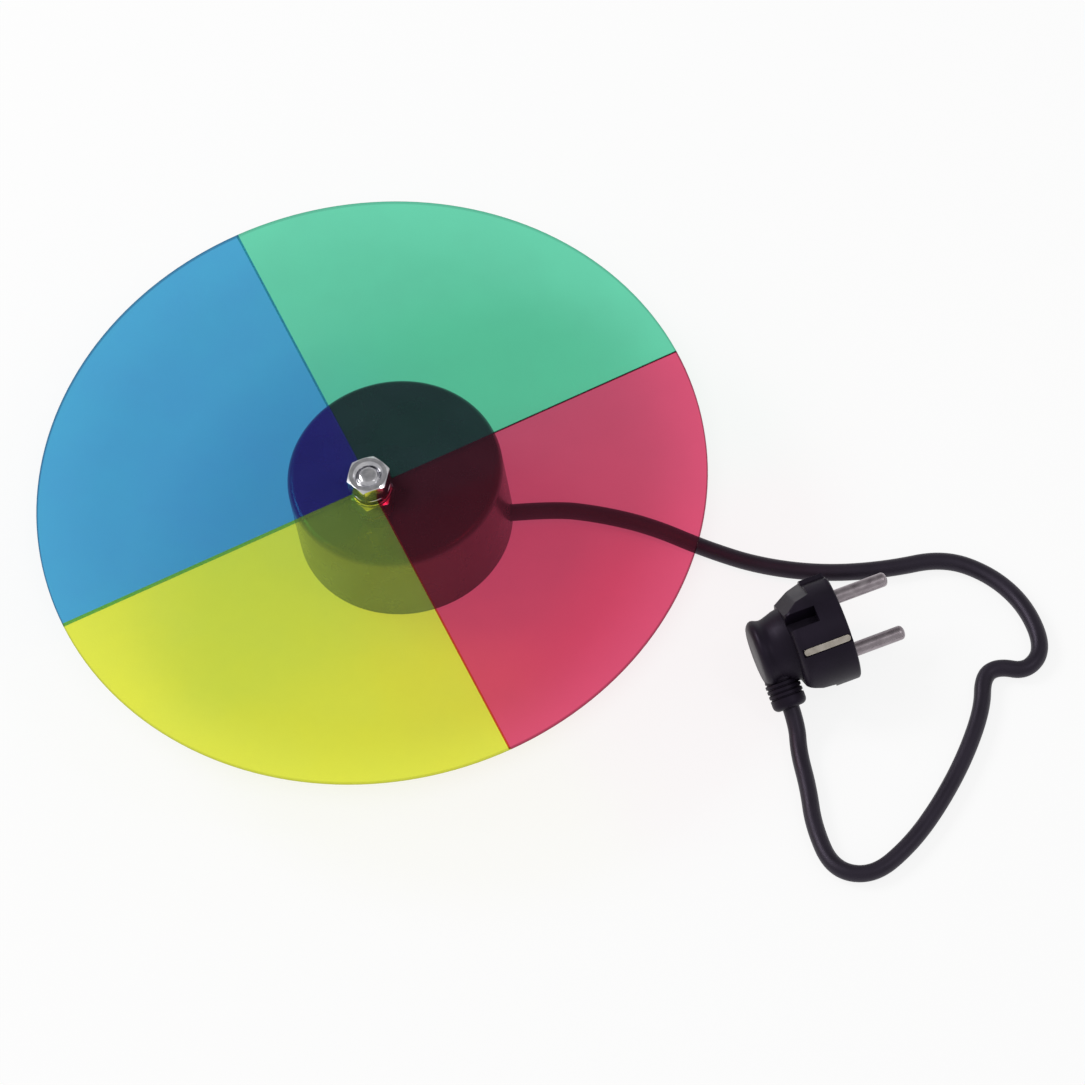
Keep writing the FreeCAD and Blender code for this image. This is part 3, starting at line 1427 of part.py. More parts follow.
def main():
    fill_sheet()
    pieces = [make_can(), make_cover(), make_inserts()]
    pieces += make_clamp() + make_housing_screws()
    pieces += make_stator() + make_gearbox() + make_gears()
    pieces += make_spindle() + make_disc()
    pieces += make_plug()
    pieces.append(tube("mains_cord", lead_route(), size("lead_radius")))
    pieces += make_cores()
    check_and_write(pieces)


main()
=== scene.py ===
# %% [markdown]
# # A colour wheel for a stage light
#
# A flat disc of four coloured filters is clamped between two nuts on the spindle of a small black
# gearmotor, and a short mains lead ends in an angled plug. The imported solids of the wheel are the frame
# of this scene: they say where everything sits and what turns. This lesson dresses that frame, piece by
# piece, with smooth surfaces worked out as arrays and with finishes made of nodes.

import bpy
import numpy as np
from mathutils import Matrix, Vector


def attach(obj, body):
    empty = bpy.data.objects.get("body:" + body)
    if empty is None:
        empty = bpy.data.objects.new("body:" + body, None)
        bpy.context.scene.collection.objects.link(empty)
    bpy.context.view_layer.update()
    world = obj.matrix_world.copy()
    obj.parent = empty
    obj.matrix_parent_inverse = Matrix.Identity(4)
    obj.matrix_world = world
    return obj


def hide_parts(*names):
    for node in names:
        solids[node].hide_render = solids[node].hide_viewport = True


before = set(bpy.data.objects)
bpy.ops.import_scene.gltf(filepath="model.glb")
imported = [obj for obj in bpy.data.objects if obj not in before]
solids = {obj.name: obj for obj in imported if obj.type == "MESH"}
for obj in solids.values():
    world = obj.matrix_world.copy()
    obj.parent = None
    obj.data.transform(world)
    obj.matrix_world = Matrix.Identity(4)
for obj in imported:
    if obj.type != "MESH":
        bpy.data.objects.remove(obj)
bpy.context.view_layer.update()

# %% [markdown]
# ## The camera
#
# The wheel was seen from well above with a long lens, and the camera was tilted sideways a little. A
# camera is three arrows at right angles: backwards, to the right and upwards. Here they are worked out
# from the elevation and the tilt, and the camera then looks slightly to one side of the disc, so that
# the disc sits left of the middle and the plug has room on the right.

# %% Place the camera
MM = 0.001
ELEVATION = np.radians(58.38)
TILT = np.radians(-13.38)
DISTANCE = 2.984
DISC_CENTRE = np.array([0.0, 0.0, 43 * MM])
LENS = 300.5
SIDE_SHIFT, DOWN_SHIFT = 0.01888, 0.00586

backwards = np.array([0, -np.cos(ELEVATION), np.sin(ELEVATION)])
level_right = np.array([1.0, 0, 0])
level_up = np.cross(backwards, level_right)
right = np.cos(TILT) * level_right + np.sin(TILT) * level_up
up = np.cross(backwards, right)
gaze = -backwards + SIDE_SHIFT * right - DOWN_SHIFT * up
gaze /= np.linalg.norm(gaze)
camera_right = np.cross(gaze, up)
camera_right /= np.linalg.norm(camera_right)
camera_up = np.cross(camera_right, gaze)

camera_data = bpy.data.cameras.new("camera")
camera_data.lens = LENS
camera_data.sensor_width = 36
camera = bpy.data.objects.new("camera", camera_data)
bpy.context.scene.collection.objects.link(camera)
axes = Matrix([camera_right, camera_up, -gaze]).transposed().to_4x4()
camera.matrix_world = Matrix.Translation(DISC_CENTRE + DISTANCE * backwards) @ axes
bpy.context.scene.camera = camera
print("camera at", np.round(camera.matrix_world.translation, 3))

# %% [markdown]
# ## Floor and light
#
# The wheel stands on a white sheet, and the picture's background is plain white. A white sheet that is
# only lit well never quite gets there, so part of what the camera and mirrors see of it shines by
# itself at a strength of one, which is white. The rest is ordinary paper, which keeps the soft shade of
# the wheel and the coloured light that falls through the filters. Under the wheel the sheet shines
# less, so that this light shows there. The light on the object doesn't change by this, because only
# those rays see the shine.

# %% Make the white sheet
FLOOR_HALF = 3.0
FLOOR_SINK = 0.2 * MM
SHADE_MIDDLE = (0, 25 * MM, -FLOOR_SINK)
SHADE_INSIDE, SHADE_OUTSIDE = 88 * MM, 122 * MM
SHINE_UNDER, SHINE_AWAY = 0.45, 0.86


def add_node(tree, kind, **settings):
    """A shader node of that kind; a setting that names a socket fills it, any other is a property."""
    node = tree.nodes.new(kind)
    for name, value in settings.items():
        socket = next((s for s in node.inputs if s.name.replace(" ", "_") == name), None)
        if socket is None:
            setattr(node, name, value)
        elif isinstance(value, bpy.types.NodeSocket):
            tree.links.new(value, socket)
        else:
            socket.default_value = value
    return node


def new_finish(name, **settings):
    """A material with one Principled shader; returns the material, its tree and the shader."""
    material = bpy.data.materials.new(name)
    material.use_nodes = True
    shader = material.node_tree.nodes["Principled BSDF"]
    for socket, value in settings.items():
        shader.inputs[socket.replace("_", " ")].default_value = value
    return material, material.node_tree, shader


def fill(node, **values):
    """Sets a node's inputs by name."""
    for name, value in values.items():
        node.inputs[name.replace("_", " ")].default_value = value


def join(tree, first, second, kind):
    """The larger (MAXIMUM) or the product (MULTIPLY) of two numbers in a shader's tree."""
    node = add_node(tree, "ShaderNodeMath", operation=kind)
    for value, socket in ((first, node.inputs[0]), (second, node.inputs[1])):
        if isinstance(value, bpy.types.NodeSocket):
            tree.links.new(value, socket)
        else:
            socket.default_value = value
    return node.outputs[0]


def blend_shaders(tree, share, first, second):
    """A mix of two shaders; share is the second one's part."""
    mix = add_node(tree, "ShaderNodeMixShader", Fac=share)
    tree.links.new(first.outputs[0], mix.inputs[1])
    tree.links.new(second.outputs[0], mix.inputs[2])
    return mix


sheet, sheet_tree, paper = new_finish("white_sheet", Base_Color=(0.93, 0.93, 0.93, 1), Roughness=0.9)
paper.inputs["Specular IOR Level"].default_value = 0.0
ray = add_node(sheet_tree, "ShaderNodeLightPath")
seen = join(sheet_tree, ray.outputs["Is Camera Ray"], ray.outputs["Is Glossy Ray"], "MAXIMUM")
seen = join(sheet_tree, seen, ray.outputs["Is Transmission Ray"], "MAXIMUM")
shine = add_node(sheet_tree, "ShaderNodeEmission", Color=(1, 1, 1, 1), Strength=1.0)
spot = add_node(sheet_tree, "ShaderNodeTexCoord")
away = add_node(sheet_tree, "ShaderNodeVectorMath", operation="DISTANCE")
sheet_tree.links.new(spot.outputs["Object"], away.inputs[0])
away.inputs[1].default_value = SHADE_MIDDLE
amount = add_node(sheet_tree, "ShaderNodeMapRange", interpolation_type="SMOOTHSTEP")
sheet_tree.links.new(away.outputs["Value"], amount.inputs["Value"])
fill(amount, From_Min=SHADE_INSIDE, From_Max=SHADE_OUTSIDE, To_Min=SHINE_UNDER, To_Max=SHINE_AWAY)
shining = join(sheet_tree, seen, amount.outputs["Result"], "MULTIPLY")
mixed = blend_shaders(sheet_tree, shining, paper, shine)
sheet_tree.links.new(mixed.outputs[0], sheet_tree.nodes["Material Output"].inputs["Surface"])

floor_mesh = bpy.data.meshes.new("floor")
corner_signs = np.array([(-1, -1), (1, -1), (1, 1), (-1, 1)]) * FLOOR_HALF
floor_corners = np.column_stack([corner_signs, np.full(4, -FLOOR_SINK)])
floor_mesh.from_pydata(floor_corners.tolist(), [], [(0, 1, 2, 3)])
floor_mesh.materials.append(sheet)
floor = bpy.data.objects.new("floor", floor_mesh)
bpy.context.scene.collection.objects.link(floor)
print("white sheet of", 2 * FLOOR_HALF, "m")

# %% [markdown]
# ## Surroundings and lamps
#
# Plain plastic looks right in any soft light, but a bright nut only shows what is round it. So the
# surroundings are light grey with one darker part, high up behind the wheel, where the flat tops of the
# nuts mirror the view. A broad lamp behind the wheel gives the soft shade in front of the can, and two
# narrow ones, on the left and at the front right, make the bevels of the nuts and the pins glint.

# %% Make the surroundings and the lamps
MIRRORED = (0, np.cos(ELEVATION), np.sin(ELEVATION))
DARK_FROM, DARK_FULL = 0.80, 0.97
SKY_LIGHT, SKY_DARK = 0.58, 0.28
LAMPS_AIM = Vector((0.05, -0.03, 0.02))

world = bpy.data.worlds.new("surroundings")
world.use_nodes = True
bpy.context.scene.world = world
sky = world.node_tree
sky_light = sky.nodes["Background"]
sky_light.inputs["Color"].default_value = (1, 1, 1, 1)
way = add_node(sky, "ShaderNodeTexCoord")
nearness = add_node(sky, "ShaderNodeVectorMath", operation="DOT_PRODUCT")
sky.links.new(way.outputs["Generated"], nearness.inputs[0])
nearness.inputs[1].default_value = MIRRORED
level = add_node(sky, "ShaderNodeMapRange", interpolation_type="SMOOTHSTEP")
sky.links.new(nearness.outputs["Value"], level.inputs["Value"])
fill(level, From_Min=DARK_FROM, From_Max=DARK_FULL, To_Min=SKY_LIGHT, To_Max=SKY_DARK)
sky.links.new(level.outputs["Result"], sky_light.inputs["Strength"])
seen_sky = add_node(sky, "ShaderNodeBackground", Color=(1, 1, 1, 1), Strength=1.0)
ray = add_node(sky, "ShaderNodeLightPath")
straight = join(sky, ray.outputs["Is Camera Ray"], ray.outputs["Is Transmission Ray"], "MAXIMUM")
mixed = blend_shaders(sky, straight, sky_light, seen_sky)
sky.links.new(mixed.outputs[0], sky.nodes["World Output"].inputs["Surface"])


def add_lamp(name, place, watts, wide, tall):
    """A soft lamp of that width and height that shines at the middle of the wheel."""
    lamp = bpy.data.lights.new(name, "AREA")
    lamp.energy = watts
    lamp.shape = "RECTANGLE"
    lamp.size = wide
    lamp.size_y = tall
    item = bpy.data.objects.new(name, lamp)
    bpy.context.scene.collection.objects.link(item)
    item.location = place
    item.rotation_euler = (LAMPS_AIM - Vector(place)).to_track_quat("-Z", "Y").to_euler()


add_lamp("shoulder_lamp", (-1.05, 0.80, 1.40), 15, 0.7, 0.7)
add_lamp("left_lamp", (-1.42, 0.10, 1.26), 2.2, 0.14, 0.45)
add_lamp("front_right_lamp", (0.92, -0.60, 1.56), 2.2, 0.16, 0.40)
bpy.context.scene.view_settings.view_transform = "Standard"
print(len(bpy.data.lights), "lamps ready")

# %% [markdown]
# ## Finishes
#
# Each finish starts from one Principled shader and gets its grain, its wear and its small unevenness
# from noise in Object coordinates, which on these pieces are metres in the frame of the wheel. A noise of
# scale 3000 therefore has patches about a third of a millimetre wide.

# %% Make the finishes
NOISE_LOW, NOISE_HIGH = 0.3, 0.7


def linear(red, green, blue):
    """The linear value of a colour given in display steps from 0 to 255."""
    share = np.array([red, green, blue]) / 255
    value = np.where(share <= 0.04045, share / 12.92, ((share + 0.055) / 1.055) ** 2.4)
    return (*value.tolist(), 1.0)


def speckle(tree, scale, detail=3.0, stretch=(1, 1, 1)):
    """Noise over the piece in Object coordinates; a small share in stretch draws it out that way."""
    place = add_node(tree, "ShaderNodeTexCoord")
    mapping = add_node(tree, "ShaderNodeMapping", Vector=place.outputs["Object"], Scale=stretch)
    noise = add_node(tree, "ShaderNodeTexNoise", Vector=mapping.outputs[0], Scale=scale, Detail=detail)
    return noise.outputs["Fac"]


def between(tree, factor, low, high):
    """A number that runs from low to high as the factor runs over the middle of the noise."""
    span = add_node(tree, "ShaderNodeMapRange")
    tree.links.new(factor, span.inputs["Value"])
    fill(span, From_Min=NOISE_LOW, From_Max=NOISE_HIGH, To_Min=low, To_Max=high)
    return span.outputs["Result"]


def tones(tree, factor, dark, light):
    """A colour between two tones."""
    ramp = add_node(tree, "ShaderNodeValToRGB", Fac=factor)
    for element, position, tone in zip(ramp.color_ramp.elements, (NOISE_LOW, NOISE_HIGH), (dark, light)):
        element.position = position
        element.color = tone
    return ramp.outputs["Color"]


def relief(tree, shader, height, depth):
    """Bumps of that depth, in metres, on a shader."""
    bump = add_node(tree, "ShaderNodeBump", Height=height, Distance=depth, Strength=1.0)
    tree.links.new(bump.outputs["Normal"], shader.inputs["Normal"])


def moulded(name, dark, light, gloss, grain_scale, grain_depth, shine=0.5, tint=(1, 1, 1, 1)):
    """Moulded plastic: a fine eroded grain, cloudy tone and a little unevenness in its sheen."""
    material, tree, shader = new_finish(name, Specular_IOR_Level=shine, Specular_Tint=tint)
    cloud = speckle(tree, 90)
    grain = speckle(tree, grain_scale, 4)
    tree.links.new(tones(tree, cloud, dark, light), shader.inputs["Base Color"])
    tree.links.new(between(tree, cloud, gloss - 0.05, gloss + 0.06), shader.inputs["Roughness"])
    relief(tree, shader, grain, grain_depth)
    return material


def metal(name, dark, light, rough, scratch_depth, stretch=(1, 1, 1)):
    """Bare or plated metal: tone and sheen vary in patches, and there are fine marks, drawn out by stretch."""
    material, tree, shader = new_finish(name, Metallic=1.0)
    patches = speckle(tree, 400)
    marks = speckle(tree, 7000, 3, stretch)
    tree.links.new(tones(tree, patches, dark, light), shader.inputs["Base Color"])
    tree.links.new(between(tree, patches, rough - 0.04, rough + 0.08), shader.inputs["Roughness"])
    relief(tree, shader, marks, scratch_depth)
    return material


# Black mouldings mirror the room with a faint mauve. The can's wall has a lighter base colour than the can's
# top: painted light, standing in for the bright sheet mirrored in the wall.
MAUVE = (0.86, 0.74, 1.0, 1)
PAINTED_WALL_LIGHT = linear(84, 80, 84)
can_black = moulded("can_plastic", linear(20, 20, 23), linear(28, 27, 32), 0.28, 2600, 0.006 * MM, 0.6)
can_tree = can_black.node_tree
can_shader = can_tree.nodes["Principled BSDF"]
roof_tone = can_shader.inputs["Base Color"].links[0].from_socket
# Painted light: wherever the surface faces sideways, its base colour turns to the lighter wall tone.
lie = add_node(can_tree, "ShaderNodeNewGeometry")
parts = add_node(can_tree, "ShaderNodeSeparateXYZ", Vector=lie.outputs["Normal"])
painted_light_share = add_node(can_tree, "ShaderNodeMapRange", Value=parts.outputs["Z"])
fill(painted_light_share, From_Min=0.2, From_Max=0.9, To_Min=1.0, To_Max=0.0)
tone_with_painted_light = add_node(can_tree, "ShaderNodeMix", data_type="RGBA")
can_tree.links.new(painted_light_share.outputs["Result"], tone_with_painted_light.inputs["Factor"])
can_tree.links.new(roof_tone, tone_with_painted_light.inputs[6])
tone_with_painted_light.inputs[7].default_value = PAINTED_WALL_LIGHT  # inputs 6 and 7 of this node are its two colours
can_tree.links.new(tone_with_painted_light.outputs[2], can_shader.inputs["Base Color"])
plug_black = moulded(
    "plug_plastic", linear(17, 13, 22), linear(26, 20, 32), 0.44, 1800, 0.010 * MM, 0.22, MAUVE,
)
sheath_black = moulded(
    "lead_sheath", linear(25, 22, 29), linear(33, 29, 38), 0.46, 900, 0.03 * MM, 0.4, MAUVE,
)
bright_zinc = metal("bright_zinc", linear(196, 196, 202), linear(226, 225, 228), 0.17, 0.0005 * MM)
strip_nickel = metal("nickel_strips", linear(178, 170, 158), linear(200, 192, 182), 0.36, 0.0002 * MM)
nickel = metal("nickel_pins", linear(146, 136, 142), linear(168, 159, 164), 0.30, 0.0002 * MM, (0.08, 1, 1))
screw_steel = metal("screw_steel", linear(150, 150, 152), linear(190, 190, 188), 0.32, 0.001 * MM)
sheet_steel = metal("sheet_steel", linear(150, 152, 154), linear(184, 184, 182), 0.38, 0.001 * MM)
turned_brass = metal("turned_brass", linear(176, 140, 74), linear(214, 178, 104), 0.25, 0.001 * MM)
core_sheath = moulded("core_insulation", linear(72, 92, 150), linear(92, 112, 172), 0.4, 2000, 0.006 * MM)
copper_wire = metal("copper_wire", linear(150, 76, 40), linear(190, 104, 60), 0.3, 0.05 * MM, (1, 1, 6))
ferrite = moulded("ferrite", linear(48, 48, 50), linear(66, 66, 68), 0.55, 1500, 0.02 * MM)
gear_white = moulded("gear_plastic", linear(222, 218, 206), linear(234, 231, 222), 0.4, 2000, 0.008 * MM)
print(len(bpy.data.materials), "finishes so far")

# %% [markdown]
# ## The filters
#
# A filter is a coloured plate that is clear but not perfectly so: most light passes and takes the
# colour, and a small share is scattered back in a deeper colour, which is why the black motor seen
# through it looks navy, bottle green, maroon or olive and not black. The clear share is a Transparent
# shader, which also colours the light on the floor, and the scattered share is a plain one. Light
# crosses two faces of each plate, so each face carries the square root of the plate's colour. Close to
# its rim a plate is darker, because there the light runs along inside it.

# %% Make the filter finishes
DISC_RADIUS = 111.3 * MM
RIM_FROM, RIM_FULL = DISC_RADIUS - 0.5 * MM, DISC_RADIUS - 0.1 * MM


def filter_finish(name, passed, scattered, share, rim):
    """Clear plate of a colour: a share of each face scatters, and the rim passes only part."""
    material, tree, shader = new_finish(
        name, Base_Color=(*scattered, 1), Roughness=0.35, Specular_IOR_Level=0.25,
    )
    place = add_node(tree, "ShaderNodeTexCoord")
    flat = add_node(tree, "ShaderNodeVectorMath", operation="MULTIPLY")
    tree.links.new(place.outputs["Object"], flat.inputs[0])
    flat.inputs[1].default_value = (1, 1, 0)
    reach = add_node(tree, "ShaderNodeVectorMath", operation="LENGTH")
    tree.links.new(flat.outputs["Vector"], reach.inputs[0])
    edge = add_node(tree, "ShaderNodeMapRange")
    tree.links.new(reach.outputs["Value"], edge.inputs["Value"])
    fill(edge, From_Min=RIM_FROM, From_Max=RIM_FULL)
    face = np.sqrt(np.array(passed))
    tint = add_node(tree, "ShaderNodeMix", data_type="RGBA")
    tree.links.new(edge.outputs["Result"], tint.inputs["Factor"])
    tint.inputs[6].default_value = (*face.tolist(), 1)
    tint.inputs[7].default_value = (*(face * rim).tolist(), 1)
    clear = add_node(tree, "ShaderNodeBsdfTransparent")
    tree.links.new(tint.outputs[2], clear.inputs["Color"])
    haze = speckle(tree, 60, 2)
    mix = add_node(tree, "ShaderNodeMixShader")
    tree.links.new(between(tree, haze, share * 0.9, share * 1.1), mix.inputs["Fac"])
    tree.links.new(clear.outputs[0], mix.inputs[1])
    tree.links.new(shader.outputs[0], mix.inputs[2])
    tree.links.new(mix.outputs[0], tree.nodes["Material Output"].inputs["Surface"])
    return material


filters = {
    "filter_green": filter_finish("green_filter", (0.166, 0.773, 0.49), (0.136, 0.15, 0.222), 0.10, 0.8),
    "filter_blue": filter_finish("blue_filter", (0.077, 0.478, 0.677), (0.142, 0.083, 0.68), 0.12, 0.6),
    "filter_yellow": filter_finish("yellow_filter", (0.90, 0.885, 0.06), (0.476, 0.73, 0.28), 0.12, 0.8),
    "filter_red": filter_finish("red_filter", (0.88, 0.112, 0.23), (0.215, 0.073, 0.12), 0.10, 0.6),
}
for node_name, finish in filters.items():
    solids[node_name].data.materials.clear()
    solids[node_name].data.materials.append(finish)
print("filters:", ", ".join(filters))

# %% [markdown]
# ## Skins
#
# Every new piece here is one surface over a grid of points. A row goes once round the piece, and the rows
# follow each other along it. Each four neighbours make a face, and the order of their corners turns all
# faces outwards. The rows of a ring come back to the first one, and any other piece is closed by a fan
# of triangles at each end.

# %% Make a mesh from a grid
TAU = 2 * np.pi


def skin(name, grid, finish, ring=False, sharp=38):
    """An object from points[row, column]; edges that bend by more than sharp degrees stay crisp."""
    rows, columns = grid.shape[:2]
    index = np.arange(rows * columns).reshape(rows, columns)
    low, high = (index, np.roll(index, -1, axis=0)) if ring else (index[:-1], index[1:])
    corners = (low, np.roll(low, -1, axis=1), np.roll(high, -1, axis=1), high)
    faces = np.stack(corners, axis=-1).reshape(-1, 4).tolist()
    points = grid.reshape(-1, 3)
    if not ring:
        ends = np.array([grid[0].mean(axis=0), grid[-1].mean(axis=0)])
        pole = np.full(columns, len(points))
        faces += np.column_stack([pole, np.roll(index[0], -1), index[0]]).tolist()
        faces += np.column_stack([pole + 1, index[-1], np.roll(index[-1], -1)]).tolist()
        points = np.vstack([points, ends])
    mesh = bpy.data.meshes.new(name)
    mesh.from_pydata(points.tolist(), [], faces)
    mesh.shade_smooth()
    mesh.set_sharp_from_angle(angle=np.radians(sharp))
    mesh.materials.append(finish)
    piece = bpy.data.objects.new(name, mesh)
    bpy.context.scene.collection.objects.link(piece)
    return piece


def turned(radius, height, bearing):
    """Points (radius, height) of every row, carried round the Z axis to every bearing; all in mm."""
    radius = np.broadcast_to(radius, (len(height), len(bearing)))
    height = np.broadcast_to(np.reshape(height, (len(height), -1)), radius.shape)
    return np.stack([radius * np.cos(bearing), radius * np.sin(bearing), height], axis=-1) * MM


print("skins ready")

# %% [markdown]
# ## Nuts and washers
#
# A hexagon nut is a hexagon and a cone at once: each corner is turned off by a cone of 30 degrees. Its
# reach at a bearing is worked out from the six flats. Added up as high powers, their shares give a
# hexagon with slightly soft corners. The profile of each column then runs over the bevel as far as the
# hexagon reaches there, which gives the curved edge between flat and bevel that real nuts have.

# %% Make the nuts and the washers
BORE = 4.05
NUT_HALF, NUT_HEIGHT, NUT_FACE, NUT_MOUTH = 6.5, 6.5, 6.3, 4.95
WASHER_RADIUS, WASHER_THICK, WASHER_EDGE = 6.6, 1.5, 0.3
LOWER_NUT, UPPER_WASHER = 35.55, 44.75
NUT_CORNER, NUT_BEVEL, MOUTH_DEEP, HEX_POWER = np.radians(5), np.radians(30), 0.9, 70
bearing = np.linspace(0, TAU, 240, endpoint=False)
flats = NUT_CORNER + np.radians(30 + 60 * np.arange(6))
share = np.clip(np.cos(bearing[None] - flats[:, None]), 0, None) / NUT_HALF
hexagon = (share ** HEX_POWER).sum(axis=0) ** (-1 / HEX_POWER)


def on_wheel(piece, node_name):
    """Lets a zinc-plated piece turn with the wheel in place of its solid."""
    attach(piece, "wheel")
    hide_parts(node_name)


def hex_nut(name, node_name, base):
    """A nut on that level: bore, mouth, face, bevel and flats, then the same back to the bore."""
    reach = np.maximum(hexagon, NUT_FACE + 0.02)
    bevel = (reach - NUT_FACE) * np.tan(NUT_BEVEL)
    outer = [NUT_FACE + (reach - NUT_FACE) * along for along in (0.0, 0.5, 0.92)] + [reach]
    rise = [bevel * up for up in (0.0, 0.5, 0.9)] + [bevel + 0.1]
    flat = np.ones_like(bearing)
    radius = [BORE * flat, NUT_MOUTH * flat] + outer + outer[::-1] + [NUT_MOUTH * flat, BORE * flat]
    low = [MOUTH_DEEP * flat, 0 * flat] + rise
    height = low + [NUT_HEIGHT - level for level in low[::-1]]
    grid = turned(np.array(radius), base + np.array(height), bearing)
    on_wheel(skin(name, grid, bright_zinc, ring=True, sharp=24), node_name)


def flat_washer(name, node_name, base):
    """A washer on that level, with edges rounded by a quarter of a circle in three steps."""
    turn = np.radians([-90, -60, -30, 0])
    curve = WASHER_EDGE * np.column_stack([np.cos(turn), 1 + np.sin(turn)]) + (WASHER_RADIUS - WASHER_EDGE, 0)
    upper = curve[::-1] * (1, -1) + (0, WASHER_THICK)
    profile = np.vstack([[(BORE, 0)], curve, upper, [(BORE, WASHER_THICK)]])
    grid = turned(profile[:, :1], base + profile[:, 1], bearing)
    on_wheel(skin(name, grid, bright_zinc, ring=True), node_name)


hex_nut("hex_nut_lower", "lower_nut", LOWER_NUT)
flat_washer("flat_washer_lower", "lower_washer", LOWER_NUT + NUT_HEIGHT)
flat_washer("flat_washer_upper", "upper_washer", UPPER_WASHER)
hex_nut("hex_nut_upper", "upper_nut", UPPER_WASHER + WASHER_THICK)
print("nuts reach", round(float(hexagon.max()), 2), "mm at their corners")

# %% [markdown]
# ## The spindle
#
# The spindle is a rod of 8 mm with a coarse thread over its upper part. The thread is a ridge that rises
# by 1.25 mm in one turn, so the depth of the groove at a point depends on its height less the share of
# a turn that its bearing makes. Lower down the rod is plain, with steps for its bearings and a groove
# for the retaining ring, and its end is slightly domed.

# %% Make the spindle
SPINDLE_RADIUS = 4.0
PITCH, THREAD_DEPTH = 1.25, 0.6
THREAD_FROM, THREAD_FULL, THREAD_TO = 34.6, 35.2, 51.4
BEVEL_WIDE, BEVEL_TALL, DOME_RISE, DOME_TURN = 0.9, 0.7, 0.5, 1.4
steps = np.array([
    (2.0, 16.0), (2.0, 25.1), (3.0, 25.1), (3.0, 28.1), (4.0, 28.1), (4.0, 33.55),
    (3.4, 33.55), (3.4, 34.40), (4.0, 34.40),
])
thread_rows = np.arange(34.5, THREAD_TO, 0.1)
thread_rows = np.column_stack([np.full(len(thread_rows), SPINDLE_RADIUS), thread_rows])
share = np.linspace(0, 1, 9)
end_rows = np.column_stack([SPINDLE_RADIUS - BEVEL_WIDE * share, THREAD_TO + BEVEL_TALL * share])
dome_radius = (SPINDLE_RADIUS - BEVEL_WIDE) * np.cos(share * DOME_TURN)
dome_height = THREAD_TO + BEVEL_TALL + DOME_RISE * np.sin(share * DOME_TURN)
dome_rows = np.column_stack([dome_radius, dome_height])
profile = np.vstack([steps, thread_rows, end_rows, dome_rows[1:]])
phase = (profile[:, 1:] / PITCH - bearing[None] / TAU) % 1
groove = THREAD_DEPTH * np.clip(1.6 * np.abs(2 * phase - 1) - 0.3, 0, 1)
threaded = np.clip((profile[:, 1:] - THREAD_FROM) / (THREAD_FULL - THREAD_FROM), 0, 1)
radius = np.minimum(profile[:, :1], SPINDLE_RADIUS - groove * threaded)
on_wheel(skin("threaded_spindle", turned(radius, profile[:, 1], bearing), bright_zinc, sharp=50), "spindle")
print("thread of", round((THREAD_TO - THREAD_FROM) / PITCH, 1), "turns")

# %% [markdown]
# ## The plug's pins and earth strips
#
# The plug's metal is worked out in the plug's own directions: forwards along the pins, sideways, and up.
# A pin is a round rod whose nose follows a flattened circle. A strip is a rod too, with a cross-section
# between a rectangle and an ellipse, and it narrows at both ends in the same way.

# %% Make the pins and the strips
PLUG_HEADING = np.radians(8)
PLUG_FACE = np.array([139.5, -77.2, 18.25])
FORWARDS = np.array([np.cos(PLUG_HEADING), np.sin(PLUG_HEADING), 0])
SIDEWAYS = np.array([-np.sin(PLUG_HEADING), np.cos(PLUG_HEADING), 0])
UPWARDS = np.array([0, 0, 1.0])


def rod(along, half_wide, half_thick, power, bearing_on_face, place):
    """Rows at those distances in front of the face, round an axis at that place of the face."""
    around = np.linspace(0, TAU, 64, endpoint=False)
    wave = [np.sign(f) * np.abs(f) ** (2 / power) for f in (np.cos(around), np.sin(around))]
    outwards = np.cos(bearing_on_face) * SIDEWAYS + np.sin(bearing_on_face) * UPWARDS
    across = -np.sin(bearing_on_face) * SIDEWAYS + np.cos(bearing_on_face) * UPWARDS
    axis = PLUG_FACE + place * outwards
    thick = half_thick[:, None, None] * wave[0][None, :, None] * outwards
    wide = half_wide[:, None, None] * wave[1][None, :, None] * across
    return (axis + along[:, None, None] * FORWARDS + thick + wide) * MM


def plug_metal(name, node_name, grids, finish):
    """Metal pieces of one kind, numbered from 1, on the housing in place of their solid."""
    parts = [skin(f"{name}_{count}", grid, finish) for count, grid in enumerate(grids, 1)]
    for part in parts:
        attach(part, "housing")
        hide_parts(node_name)
    return parts


def outer_part(name, grid):
    """A moulded part of the plug."""
    piece = skin(name, grid, plug_black, sharp=32)
    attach(piece, "housing")
    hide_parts("plug_body")
    return piece


PIN_RADIUS, PIN_LONG, PIN_ROOT, NOSE, NOSE_POWER = 2.4, 19.0, 10.0, 1.7, 2.3
PIN_PLACE, PIN_BEARINGS = 9.5, np.radians([45, 225])
nose = np.sin(np.linspace(0, 1, 14) * np.pi / 2)
pin_along = np.concatenate([[-PIN_ROOT, -PIN_ROOT / 2, 0], PIN_LONG - NOSE + NOSE * nose])
nose_share = (1 - nose ** NOSE_POWER) ** (1 / NOSE_POWER)
pin_radius = PIN_RADIUS * np.concatenate([np.ones(3), nose_share])[:-1]
pin_along = pin_along[:-1]
pin_grids = [rod(pin_along, pin_radius, pin_radius, 2, turn, PIN_PLACE) for turn in PIN_BEARINGS]
pins = plug_metal("contact_pin", "plug_pins", pin_grids, nickel)

